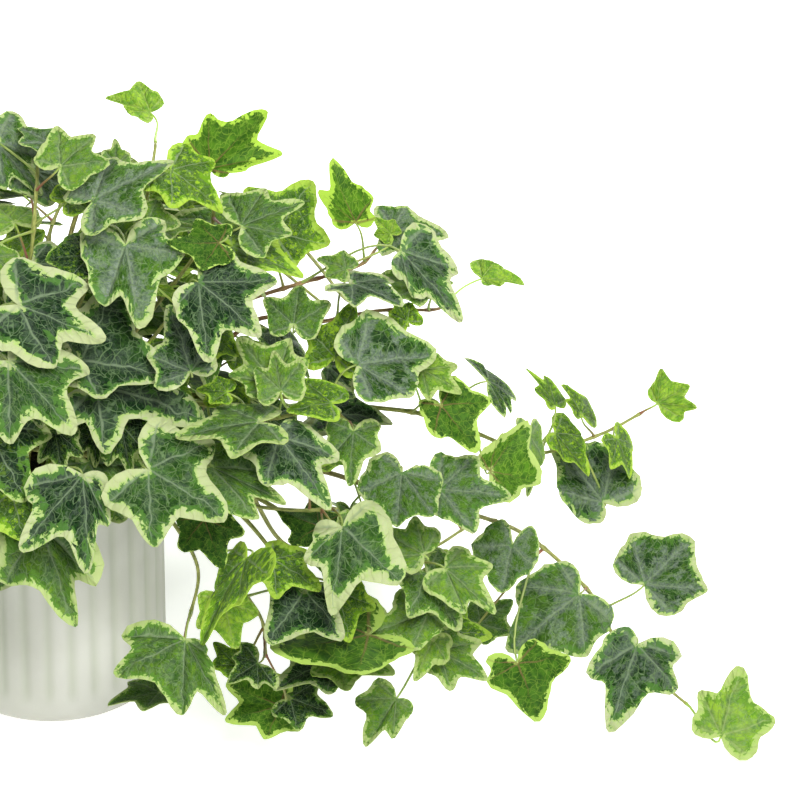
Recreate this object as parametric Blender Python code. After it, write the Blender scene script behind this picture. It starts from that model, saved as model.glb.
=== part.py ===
"""Potted variegated ivy: a fluted pot, its soil, and one solid for each leafy stem.

The tables are in millimetres and the objects are made in metres, +Z up. The origin is the
middle of the pot's flat base, and the side that shows best faces -Y.
"""

import math
import random

import bpy
import numpy as np
from mathutils import Vector
from mathutils.bvhtree import BVHTree

MM = 0.001

# Pot
POT_RADIUS = 60.0
POT_HEIGHT = 155.0
POT_WALL = 3.5
POT_FLOOR = 6.0
FLUTES = 30
FLUTE_DEPTH = 1.3
FLUTE_START = 19.0
FOOT_RADIUS = 50.0
FOOT_ROUNDING = 10.0
GAP = 0.3

# Soil
SOIL_TOP = 143.0
SOIL_CROWN = 3.0
SOIL_SIDES = 30
ROOT_DEPTH = 12.0
HOLE_SIDES = 5
RING_RADII = (14.0, 30.0, 46.0)

# Stems and leaf stalks
STEM_ROOT_RADIUS = 2.3
STEM_TIP_RADIUS = 1.1
STEM_SIDES = 4
STEM_STEP = 8.0
STEPS_A_RING = 4
ROOT_STEPS = 4
NODE_SHARES = (0.0, 0.27, 0.53, 0.76)
STEM_APART = 9.0
RIM_CLEARANCE = 13.0
STALK_HALF = 0.8
STALK_MID = 0.62
SHORT_STALK = 32.0

# Blades
EDGE_HALF = 0.35
HEART_HALF = 0.7
LEAF_CLEARANCE = 1.5
FLOOR_CLEARANCE = 1.2

# The photograph's line of sight: it looks down by this angle, from far off
VIEW_PITCH = math.radians(32.0)
VIEW_DISTANCE = 4000.0
VIEW_CENTRE = (185.0, 142.0)
ACROSS = Vector((1.0, 0.0, 0.0))
RISING = Vector((0.0, math.sin(VIEW_PITCH), math.cos(VIEW_PITCH)))
TOWARDS = Vector((0.0, -math.cos(VIEW_PITCH), math.sin(VIEW_PITCH)))

# Steps of a smooth curve between two controls, and how stems are moved apart: the rounds, the
# share of an overlap that a round takes away, the most a point moves in a round, and the lowest
# that a point may lie
CURVE_STEPS = 24
SPREAD_ROUNDS = 80
SPREAD_SHARE = 0.35
SPREAD_MOST = 3.0
STEM_LOWEST = 4.0
SEEN_LOWEST = 5.0

# The mound that the outer leaves lie on
MOUND_HEIGHT = 130.0
MOUND_WIDTH = 260.0
MOUND_DEPTH = 125.0
MOUND_BACK = 170.0
MOUND_RISE = 205.0

# Blade shapes. Each has its side lobe and its basal lobe, as (angle from the middle lobe in
# degrees, reach as a share of the blade's length), and how far the two notches beside each
# side lobe reach, as a share of the lobes next to them. Without a second notch the blade runs
# straight from side lobe to basal lobe.
LOBE_STEP = 57.0
KINDS = {
    "broad": ((57, 0.76), (115, 0.52), 0.68, 0.78),
    "deep": ((56, 0.78), (112, 0.52), 0.50, 0.62),
    "shallow": ((55, 0.78), (116, 0.53), 0.82, 0.90),
    "plain": ((57, 0.76), (114, 0.54), 0.68, None),
    "young": ((52, 0.66), (116, 0.45), 0.70, None),
}

# Stems read from the photograph. Each has its ring in the soil, the direction of its root in
# degrees, and a route of (across, rise, inset): across and rise in the picture plane from the
# middle of the pot's foot, and inset behind the mound's surface.
ROUTES = (
    (0, -62, ((38, 205, 75), (47, 232, 48), (49, 250, 32), (52, 262, 24), (54, 280, 18))),
    (0, -130, ((-16, 205, 75), (-12, 225, 48), (-10, 252, 32), (-9, 272, 22))),
    (0, -95, ((14, 195, 75), (22, 215, 58), (28, 240, 48), (31, 258, 40))),
    (0, -20, ((60, 200, 75), (76, 220, 48), (86, 240, 34), (84, 258, 26))),
    (1, -3, ((75, 180, 85), (109, 198, 48), (127, 204, 40), (143, 205, 35), (160, 212, 28), (173, 224, 22))),
    (1, -20, ((80, 165, 85), (113, 187, 60), (129, 185, 50), (150, 184, 42), (169, 190, 34), (186, 187, 28),
              (208, 192, 22))),
    (1, -54, ((45, 165, 75), (60, 185, 45), (72, 200, 30))),
    (1, -37, ((62, 140, 85), (90, 138, 58), (105, 132, 46), (120, 133, 40), (140, 138, 34), (158, 130, 28))),
    (1, -118, ((-22, 150, 65), (-34, 168, 38), (-38, 186, 28))),
    (1, -92, ((0, 145, 60), (4, 156, 40), (12, 162, 32))),
    (2, -100, ((2, 118, 48), (2, 112, 26), (-8, 98, 20), (-18, 86, 18))),
    (2, -66, ((42, 118, 55), (58, 114, 34), (76, 114, 32), (95, 122, 32), (112, 130, 28))),
    (2, -38, ((62, 104, 68), (92, 88, 50), (113, 89, 42), (138, 80, 36), (152, 84, 30))),
    (1, 15, ((110, 145, 100), (150, 140, 78), (183, 137, 52), (203, 133, 44), (222, 126, 38), (240, 118, 38),
             (262, 114, 45), (280, 119, 50), (300, 127, 54), (316, 136, 56))),
    (2, -2, ((105, 112, 100), (155, 101, 68), (185, 90, 50), (220, 82, 38), (250, 71, 28), (269, 57, 20),
             (285, 44, 14), (293, 25, 12), (308, 4, 10), (328, -12, 6), (340, -22, 2))),
    (2, -16, ((100, 95, 88), (140, 72, 66), (172, 60, 50), (190, 48, 40), (199, 32, 34), (198, 15, 30),
              (196, 2, 26))),
    (2, -78, ((40, 106, 56), (58, 84, 44), (75, 58, 38), (76, 42, 36), (72, 24, 34))),
    (2, -52, ((58, 108, 66), (72, 80, 54), (86, 56, 44), (97, 45, 40), (110, 32, 36), (110, 18, 32),
              (113, 4, 26))),
    (2, -28, ((80, 98, 80), (108, 72, 62), (126, 48, 54), (140, 28, 48), (150, 12, 40), (156, 2, 34))),
)

# Leaves read from the photograph, all places as (across, rise). Each has its stem, the heart
# where stalk and blade meet, the tips of its lobes (the middle one, the side lobe and the basal
# lobe that lie counterclockwise from it, then those clockwise from it, None where hidden), the
# slope of its face to the right and upwards, its inset behind the mound and its kind. "under"
# marks a blade that shows its underside.
READ_LEAVES = (
    (1, (51, 296), ((26, 307), (38, 297), (50, 290), (44, 314), (57, 304)), (0.1, 0.9), 0, "young", ""),
    (1, (62, 265), ((92, 246), None, (70, 280), None, None), (0.3, 0.8), 0, "broad", ""),
    (1, (50, 238), ((68, 237), (55, 250), (39, 247), None, None), (0.0, 0.3), 12, "young", ""),
    (1, (21, 249), ((62, 274), None, None, None, None), (-0.6, 1.0), 20, "broad", ""),
    (2, (3, 267), ((22, 287), (1, 290), None, (30, 271), None), (0.0, 0.35), 8, "broad", ""),
    (2, (-2, 279), ((-20, 292), None, None, None, None), (0.2, 1.5), 5, "young", ""),
    (2, (-10, 264), ((21, 249), (12, 268), None, None, None), (0.2, 0.8), 16, "broad", ""),
    (2, (-31, 280), ((-6, 252), (-5, 271), None, None, None), (0.1, 0.4), 10, "broad", ""),
    (2, (-32, 218), ((-16, 206), None, None, None, None), (0.0, 0.4), 8, "young", ""),
    (3, (19, 219), ((-6, 220), None, None, (8, 233), (28, 225)), (0.0, 0.8), 12, "shallow", ""),
    (3, (38, 225), ((46, 180), (70, 220), None, (26, 192), None), (0.0, 0.35), 4, "broad", ""),
    (3, (33, 268), ((32, 284), (26, 277), None, (40, 275), None), (0.0, 0.6), 25, "broad", ""),
    (4, (83, 266), ((114, 300), (82, 296), (71, 283), (123, 275), (93, 264)), (0.2, -0.2), 0, "broad", "under"),
    (4, (100, 235), ((134, 250), (112, 257), (92, 254), None, None), (-0.2, 0.8), 6, "broad", ""),
    (4, (98, 234), ((62, 245), None, None, None, None), (0.2, 0.9), 14, "broad", ""),
    (4, (95, 224), ((136, 211), None, None, None, None), (0.3, 1.3), 14, "broad", ""),
    (4, (88, 226), ((60, 224), None, None, None, None), (0.0, 0.8), 30, "broad", "under"),
    (5, (118, 231), ((139, 261), None, None, (148, 225), (130, 214)), (0.0, 0.2), 16, "broad", ""),
    (5, (161, 237), ((143, 271), (140, 254), (149, 243), (171, 251), (172, 240)), (0.8, 0.0), 0, "broad", "under"),
    (5, (181, 233), ((213, 233), (188, 247), None, None, None), (0.2, 0.5), 0, "broad", ""),
    (5, (185, 222), ((223, 183), (218, 211), (199, 236), (192, 196), (183, 208)), (0.5, 0.2), 4, "broad", ""),
    (5, (180, 231), ((171, 241), None, None, None, None), (0.0, 0.3), 0, "young", ""),
    (5, (156, 212), ((140, 220), None, None, None, None), (0.0, 0.5), 4, "young", ""),
    (6, (159, 204), ((188, 196), None, None, None, None), (0.1, 2.2), 4, "broad", ""),
    (6, (197, 202), ((173, 212), None, None, None, None), (0.0, 1.0), 6, "broad", ""),
    (6, (200, 202), ((214, 207), None, None, None, None), (0.0, 0.8), 0, "young", ""),
    (6, (229, 207), ((253, 207), (236, 217), (227, 219), (239, 203), (232, 203)), (0.0, 1.2), 0, "young", ""),
    (6, (189, 184), ((180, 200), None, None, (190, 195), None), (0.0, 0.4), 0, "young", ""),
    (6, (128, 182), ((131, 206), (112, 198), None, (148, 196), None), (0.0, 0.3), 18, "broad", ""),
    (6, (150, 165), ((159, 196), None, None, None, None), (-0.3, 0.3), 18, "broad", ""),
    (7, (77, 205), ((112, 177), (121, 207), (90, 223), None, (64, 193)), (0.1, 0.3), 0, "broad", ""),
    (7, (73, 157), ((61, 195), None, (53, 150), (88, 178), (87, 160)), (0.0, 0.3), 12, "broad", ""),
    (8, (118, 150), ((97, 178), (93, 156), (103, 145), (126, 176), (135, 165)), (0.0, 0.3), 8, "broad", ""),
    (8, (121, 147), ((117, 170), (107, 160), None, (133, 165), None), (0.0, 0.4), 0, "broad", ""),
    (8, (148, 140), ((123, 148), None, None, (132, 155), None), (0.2, 1.0), 8, "broad", ""),
    (8, (162, 161), ((207, 168), (168, 190), (151, 177), (192, 143), (170, 140)), (0.2, 0.3), 4, "shallow", ""),
    (8, (160, 125), ((158, 97), (175, 115), None, (146, 110), None), (0.0, 0.4), 12, "broad", ""),
    (8, (143, 135), ((183, 135), None, None, None, None), (0.1, 1.3), 24, "broad", ""),
    (8, (90, 140), ((103, 158), None, None, None, None), (0.0, 0.4), 25, "young", ""),
    (8, (92, 146), ((75, 149), None, None, None, None), (0.0, 0.6), 14, "young", ""),
    (9, (-20, 193), ((29, 175), (18, 206), None, None, None), (0.1, 0.3), 0, "broad", ""),
    (9, (-25, 163), ((14, 125), (20, 160), (-8, 182), None, None), (0.1, 0.35), 0, "broad", ""),
    (10, (14, 163), ((64, 157), (34, 205), (0, 180), (24, 142), (4, 150)), (0.1, 0.4), 22, "broad", ""),
    (10, (22, 150), ((85, 134), None, None, (28, 112), None), (0.1, 0.4), 34, "deep", ""),
    (10, (-12, 143), ((-7, 127), None, None, None, None), (0.0, 0.4), 10, "young", ""),
    (11, (15, 102), ((21, 50), (26, 74), (29, 98), (-16, 64), (-15, 96)), (0.3, 0.3), 0, "broad", ""),
    (11, (-8, 76), ((12, 20), (21, 40), None, (-28, 43), (-28, 80)), (0.0, 0.2), 12, "broad", ""),
    (11, (-38, 128), ((-14, 88), None, None, None, None), (0.0, 0.3), 4, "broad", ""),
    (12, (50, 105), ((95, 79), (86, 121), (56, 133), (53, 64), (27, 86)), (0.1, 0.35), 0, "broad", ""),
    (12, (110, 130), ((64, 127), None, None, None, None), (0.0, 1.9), 12, "broad", ""),
    (12, (84, 106), ((126, 87), None, None, (110, 80), None), (0.2, 0.6), 14, "broad", ""),
    (12, (120, 122), ((149, 86), (154, 113), (129, 132), (113, 97), (98, 116)), (0.1, 0.35), 4, "broad", ""),
    (13, (154, 74), ((149, 29), (187, 43), (170, 88), (133, 56), (139, 73)), (0.1, 0.3), 0, "broad", ""),
    (13, (80, 78), ((91, 52), (102, 71), None, (66, 62), None), (0.0, -0.2), 20, "broad", "under"),
    (13, (142, 74), ((118, 82), None, None, None, None), (0.0, 0.8), 20, "broad", "under"),
    (14, (197, 158), ((219, 147), (217, 161), (206, 167), (200, 142), (191, 152)), (0.0, 0.3), 0, "broad", ""),
    (14, (207, 139), ((228, 113), (234, 142), (215, 155), (203, 122), (195, 141)), (0.0, 0.1), 8, "broad", "under"),
    (14, (232, 152), ((251, 145), None, (223, 170), None, None), (1.7, 1.9), 0, "broad", ""),
    (14, (233, 104), ((251, 133), (238, 121), (228, 113), (262, 97), (249, 90)), (0.7, -0.3), 4, "shallow", "under"),
    (14, (254, 123), ((256, 90), None, None, None, None), (2.3, 0.2), 14, "broad", ""),
    (14, (268, 139), ((254, 161), (258, 150), (265, 138), (264, 156), (274, 142)), (1.3, 0.8), 40, "young", ""),
    (14, (282, 134), ((274, 152), (276, 144), (280, 133), (290, 143), (298, 130)), (1.3, 0.6), 40, "young", ""),
    (14, (323, 140), ((341, 151), (325, 160), (319, 149), (345, 139), (337, 132)), (0.0, 0.3), 50, "young", ""),
    (14, (268, 124), ((288, 103), (283, 123), (273, 135), (274, 110), (264, 118)), (0.8, 0.8), 35, "shallow", ""),
    (14, (301, 121), ((312, 100), None, None, None, None), (1.4, 0.5), 45, "broad", ""),
    (14, (294, 87), ((264, 125), (270, 94), (290, 76), (300, 118), (315, 95)), (0.0, 0.2), 40, "shallow", ""),
    (15, (186, 103), ((183, 75), (204, 79), (208, 99), (162, 92), (176, 114)), (0.0, 0.35), 4, "shallow", ""),
    (15, (206, 94), ((246, 92), (227, 113), (207, 114), (226, 70), (204, 80)), (0.1, 0.3), 8, "broad", ""),
    (15, (245, 64), ((239, 39), (257, 53), None, (223, 64), (242, 79)), (0.0, 0.3), 8, "shallow", ""),
    (15, (281, 38), ((242, 9), (284, 6), (299, 23), (248, 45), (270, 56)), (0.0, 0.3), 4, "shallow", ""),
    (15, (316, 43), ((343, 70), (309, 71), (300, 57), (350, 41), (332, 27)), (0.0, 0.3), 4, "shallow", ""),
    (15, (312, 11), ((296, -35), (334, -13), (336, 5), (285, -6), (303, 20)), (0.0, 0.35), 0, "broad", ""),
    (15, (357, -38), ((368, 2), (346, -13), (341, -32), (387, -29), (374, -49)), (0.0, 0.5), 0, "broad", ""),
    (15, (248, 1), ((260, -30), (277, 5), None, (231, -9), None), (0.0, -0.1), 10, "broad", "under"),
    (15, (228, 22), ((246, 36), None, None, None, None), (0.0, 0.5), 26, "broad", ""),
    (16, (198, 59), ((172, 74), (175, 58), (189, 49), (193, 80), (205, 73)), (0.0, 0.3), 4, "broad", ""),
    (16, (209, 52), ((237, 28), (235, 54), (219, 64), (220, 28), None), (0.0, 0.3), 2, "broad", ""),
    (16, (200, 28), ((167, 17), (191, 8), (209, 22), (183, 41), (199, 44)), (0.0, 0.3), 4, "broad", ""),
    (16, (205, 8), ((233, -7), (229, 13), (212, 21), (213, -14), (199, -3)), (0.0, 0.35), 4, "broad", ""),
    (16, (183, -18), ((166, -43), (181, -39), (192, -24), (160, -18), (171, -8)), (0.0, 0.4), 0, "broad", ""),
    (16, (199, 49), ((219, 19), None, None, None, None), (0.5, 0.4), 12, "broad", ""),
    (17, (70, 14), ((68, -26), (94, -29), (81, 5), (31, -4), (36, 16)), (0.0, 0.3), 0, "broad", ""),
    (17, (56, -15), ((27, -18), None, None, None, None), (0.0, 2.2), 10, "broad", ""),
    (18, (103, 57), ((72, 13), (99, 33), (117, 48), (84, 40), (95, 61)), (-2.0, 1.4), 0, "shallow", ""),
    (18, (134, 40), ((114, 12), (156, 15), None, (115, 47), None), (0.0, 0.4), 8, "broad", ""),
    (18, (117, 56), ((144, 43), None, None, None, None), (0.2, 0.8), 14, "broad", ""),
    (18, (97, 0), ((85, 13), None, None, None, None), (0.0, 0.8), 6, "young", ""),
    (18, (109, 1), ((92, -8), None, (120, -13), None, None), (0.0, 0.7), 2, "broad", ""),
    (18, (121, -22), ((90, -29), (113, -40), None, (90, -9), None), (0.0, -0.1), 4, "broad", "under"),
    (19, (168, 16), ((114, 2), None, None, None, None), (0.0, 1.5), 10, "broad", "under"),
    (19, (150, 4), ((183, -2), None, None, None, None), (0.0, 1.3), 4, "broad", ""),
    (19, (148, 2), ((117, -9), None, None, None, None), (0.0, 1.3), 6, "broad", ""),
    (19, (126, -18), ((150, -25), None, None, None, None), (0.0, 0.6), 8, "broad", ""),
    (19, (152, 39), ((158, 13), None, None, None, None), (0.0, 0.4), 14, "broad", ""),
)

# The sides that the photograph hides or cuts off: ring, direction and reach of each stem
HIDDEN_STEMS = (
    (0, 45, 0.9), (0, 90, 1.0), (0, 135, 1.0), (0, 180, 1.05),
    (1, 33, 0.95), (1, 58, 0.9), (1, 87, 0.9), (1, 120, 0.95), (1, 156, 1.1), (1, 188, 1.2), (1, 218, 1.05),
    (2, 20, 0.9), (2, 46, 0.9), (2, 76, 0.85), (2, 108, 0.85), (2, 142, 1.0), (2, 174, 1.1), (2, 204, 1.05),
    (2, 236, 0.9),
)
PROFILES = (
    ((22, 180), (36, 205), (54, 225), (74, 238), (94, 240)),
    ((40, 180), (66, 210), (104, 226), (145, 216), (182, 190), (214, 156), (236, 128)),
    ((56, 170), (76, 172), (100, 150), (118, 108), (134, 66), (158, 34), (196, 20), (240, 16), (276, 14)),
)
SWAY = (10.0, 14.0, 10.0)
HIDDEN_SEED = 11
LEAF_EVERY = 31.0

# Stems whose far side, away from the photograph, gets leaves of its own, and how many
REAR_LEAVES = {4: 2, 5: 3, 6: 3, 8: 2, 13: 2, 14: 4, 15: 3, 16: 1}

# Where the photograph shows no leaf: above a skyline of (across, rise), and in gaps given as
# (across from, to, rise from, to). Leaves on the hidden sides stay out of these.
FRAME_LEFT = -33.0
SKYLINE = ((-30, 285), (20, 280), (60, 275), (82, 262), (112, 256), (140, 240), (172, 230), (198, 200),
           (216, 172), (232, 60), (420, 60))
VIEW_GAPS = ((-40, 2, -70, 40), (2, 60, -70, 22), (60, 73, -30, 68), (78, 96, 20, 62), (84, 136, 56, 90),
             (137, 205, 184, 254), (150, 161, 90, 104), (152, 200, 112, 128), (196, 232, 66, 84), (250, 420, -60, 400))
LEAF_TRIES = 14
REAR = Vector((0.35, 0.85, 0.4))

# How far a stalk may reach, tried in turn for the leaves that were read, and for those that grow
STALK_LONGEST = (46.0, 75.0, 110.0)
STALK_USUAL = 62.0
STALK_SHORTEST = 9.0
STALKS_APART = 4.5


def scaled(points):
    return [tuple(value * MM for value in point) for point in points]


def material(name, colour, roughness):
    made = bpy.data.materials.new(name)
    made.use_nodes = True
    shader = made.node_tree.nodes["Principled BSDF"]
    shader.inputs["Base Color"].default_value = (*colour, 1.0)
    shader.inputs["Roughness"].default_value = roughness
    shader.inputs["Metallic"].default_value = 0.0
    return made


def solid(name, points, faces, finish):
    mesh = bpy.data.meshes.new(name)
    mesh.from_pydata(scaled(points), [], faces)
    mesh.materials.append(finish)
    made = bpy.data.objects.new(name, mesh)
    bpy.context.scene.collection.objects.link(made)
    return made


def combine(target, helpers, operation):
    """Applies one Boolean of all helpers to the target, then removes the helpers.

    MANIFOLD joins every stalk to its stem here, where EXACT leaves a few of them loose.
    """
    group = bpy.data.collections.new("helpers")
    bpy.context.scene.collection.children.link(group)
    for helper in helpers:
        bpy.context.scene.collection.objects.unlink(helper)
        group.objects.link(helper)
        helper.hide_render = True
    change = target.modifiers.new("combine", "BOOLEAN")
    change.operation = operation
    change.solver = "MANIFOLD"
    change.operand_type = "COLLECTION"
    change.collection = group
    graph = bpy.context.evaluated_depsgraph_get()
    joined = bpy.data.meshes.new_from_object(target.evaluated_get(graph))
    target.modifiers.clear()
    target.data = joined
    for helper in list(group.objects):
        bpy.data.objects.remove(helper)
    bpy.data.collections.remove(group)


def seen(across, rise, forward):
    """The point that shows at (across, rise) in the picture plane, this far in front of it."""
    nearness = (VIEW_DISTANCE - forward) / VIEW_DISTANCE
    x = VIEW_CENTRE[0] + (across - VIEW_CENTRE[0]) * nearness
    y = VIEW_CENTRE[1] + (rise - VIEW_CENTRE[1]) * nearness
    return ACROSS * x + RISING * y + TOWARDS * forward


def mound_front(across, rise, inset):
    """How far towards the viewer a point lies, on the mound's near side less an inset."""
    sine, cosine = math.sin(VIEW_PITCH), math.cos(VIEW_PITCH)
    height = rise * cosine - MOUND_HEIGHT
    depth = rise * sine
    a = (cosine / MOUND_DEPTH) ** 2 + (sine / MOUND_RISE) ** 2
    b = 2 * (height * sine / MOUND_RISE**2 - depth * cosine / MOUND_DEPTH**2)
    c = (across / MOUND_WIDTH) ** 2 + (depth / MOUND_DEPTH) ** 2 + (height / MOUND_RISE) ** 2 - 1
    forward = (-b + math.sqrt(max(0.0, b * b - 4 * a * c))) / (2 * a)
    return max(forward - inset, (SEEN_LOWEST - rise * cosine) / sine)


def mound_normal(point):
    depth = MOUND_DEPTH if point.y < 0 else MOUND_BACK
    lean = Vector((point.x / MOUND_WIDTH**2, point.y / depth**2, (point.z - MOUND_HEIGHT) / MOUND_RISE**2))
    return lean.normalized()


def smooth_path(controls, step):
    """Points at even steps along one smooth curve through the controls."""
    ends = [controls[0] * 2 - controls[1], *controls, controls[-1] * 2 - controls[-2]]
    dense = []
    for before, start, end, after in zip(ends, ends[1:], ends[2:], ends[3:]):
        for i in range(CURVE_STEPS):
            t = i / CURVE_STEPS
            linear = end - before
            square = 2 * before - 5 * start + 4 * end - after
            cube = 3 * start - before - 3 * end + after
            dense.append(0.5 * (2 * start + linear * t + square * t**2 + cube * t**3))
    dense.append(controls[-1])
    lengths = [0.0]
    for start, end in zip(dense, dense[1:]):
        lengths.append(lengths[-1] + (end - start).length)
    count = max(3, round(lengths[-1] / step))
    path = []
    k = 0
    for i in range(count + 1):
        wanted = lengths[-1] * i / count
        while k < len(dense) - 2 and lengths[k + 1] < wanted:
            k += 1
        share = (wanted - lengths[k]) / max(1e-9, lengths[k + 1] - lengths[k])
        path.append(dense[k].lerp(dense[k + 1], min(1.0, share)))
    return path


def rooted(ring, direction, route):
    """Even steps along a stem that stands upright in the soil, then follows its route."""
    angle = math.radians(direction)
    foot = Vector((math.cos(angle), math.sin(angle), 0.0)) * RING_RADII[ring]
    low = SOIL_TOP - ROOT_DEPTH
    upright = [foot + Vector((0, 0, low + STEM_STEP * i)) for i in range(ROOT_STEPS + 1)]
    return upright[:-1] + smooth_path([upright[-1], *route], STEM_STEP)


def hidden_route(ring, direction, reach, rng):
    """A stem on a side that the photograph doesn't show: a profile turned about the pot."""
    route = []
    drift = rng.uniform(-1, 1) * SWAY[ring]
    for i, (radius, height) in enumerate(PROFILES[ring]):
        angle = math.radians(direction + drift * i / 4 + rng.uniform(-2, 2))
        radius = radius * (1 + (reach - 1) * min(1.0, i / 3))
        height += rng.uniform(-5, 5) * (ring < 2)
        route.append(Vector((math.cos(angle) * radius, math.sin(angle) * radius, height)))
    return route


def stem_routes():
    rng = random.Random(HIDDEN_SEED)
    routes = []
    for ring, direction, points in ROUTES:
        away = [seen(across, rise, mound_front(across, rise, inset)) for across, rise, inset in points]
        routes.append(rooted(ring, direction, away))
    for ring, direction, reach in HIDDEN_STEMS:
        routes.append(rooted(ring, direction, hidden_route(ring, direction, reach, rng)))
    return routes


def spread_stems(paths):
    """Moves stems apart where they pass too close, and off the pot and the floor."""
    owner = np.concatenate([[i] * len(path) for i, path in enumerate(paths)])
    points = np.array([tuple(point) for path in paths for point in path])
    fixed = np.concatenate([[k <= ROOT_STEPS for k in range(len(path))] for path in paths])
    for _ in range(SPREAD_ROUNDS):
        apart = points[:, None] - points[None]
        distance = np.linalg.norm(apart, axis=2) + 1e-6
        close = (distance < STEM_APART) & (owner[:, None] != owner[None])
        push = np.where(close, (STEM_APART - distance) / distance, 0.0)[:, :, None] * apart
        move = SPREAD_SHARE * push.sum(axis=1)
        move[fixed] = 0.0
        points += np.clip(move, -SPREAD_MOST, SPREAD_MOST)
        radius = np.hypot(points[:, 0], points[:, 1])
        low = (radius < POT_RADIUS + RIM_CLEARANCE) & (points[:, 2] < POT_HEIGHT + RIM_CLEARANCE) & ~fixed
        over_rim = low & (points[:, 2] > POT_HEIGHT - RIM_CLEARANCE)
        points[over_rim, 2] = POT_HEIGHT + RIM_CLEARANCE
        beside = low & ~over_rim
        points[beside, :2] *= ((POT_RADIUS + RIM_CLEARANCE) / radius[beside])[:, None]
        points[~fixed, 2] = np.maximum(points[~fixed, 2], STEM_LOWEST)
    return [[Vector(point) for point in points[owner == i]] for i in range(len(paths))]


class Stem:
    def __init__(self, path):
        last = len(path) - 1
        bend = ROOT_STEPS + STEPS_A_RING // 2
        picked = [0, ROOT_STEPS, *range(bend, last + STEPS_A_RING, STEPS_A_RING)]
        self.points = [path[min(i, last)] for i in picked]
        if (self.points[-1] - self.points[-2]).length < 1.0:
            self.points.pop()
        self.radii = []
        for i in range(len(self.points)):
            share = i / (len(self.points) - 1)
            self.radii.append(STEM_ROOT_RADIUS + (STEM_TIP_RADIUS - STEM_ROOT_RADIUS) * share)
        self.used = []

    def nodes(self):
        """Places along the stem where a leaf stalk may start, above the pot's rim."""
        places = []
        for start, end in zip(self.points[1:], self.points[2:]):
            places += [start.lerp(end, share) for share in NODE_SHARES]
        places.append(self.points[-1] - (self.points[-1] - self.points[-2]) * 0.08)
        return [place for place in places if place.z > POT_HEIGHT + 8 or place.xy.length > POT_RADIUS + 4]

    def tangent(self, place):
        spans = list(zip(self.points, self.points[1:]))
        start, end = min(spans, key=lambda span: (span[0].lerp(span[1], 0.5) - place).length)
        return (end - start).normalized()


def tube(points, radii, sides):
    """A closed tube along the points, with its frame carried along without twist."""
    corners, faces = [], []
    first = (points[1] - points[0]).normalized()
    out = first.orthogonal().normalized()
    for i, point in enumerate(points):
        ahead = points[min(i + 1, len(points) - 1)] - points[max(i - 1, 0)]
        ahead.normalize()
        out = (out - ahead * out.dot(ahead)).normalized()
        up = ahead.cross(out)
        for k in range(sides):
            angle = 2 * math.pi * k / sides
            corners.append(point + (out * math.cos(angle) + up * math.sin(angle)) * radii[i])
    for i in range(len(points) - 1):
        for k in range(sides):
            a, b = i * sides + k, i * sides + (k + 1) % sides
            faces += [(a, b, a + sides), (b, b + sides, a + sides)]
    end = (len(points) - 1) * sides
    for k in range(1, sides - 1):
        faces += [(0, k + 1, k), (end, end + k, end + k + 1)]
    return corners, faces


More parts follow.
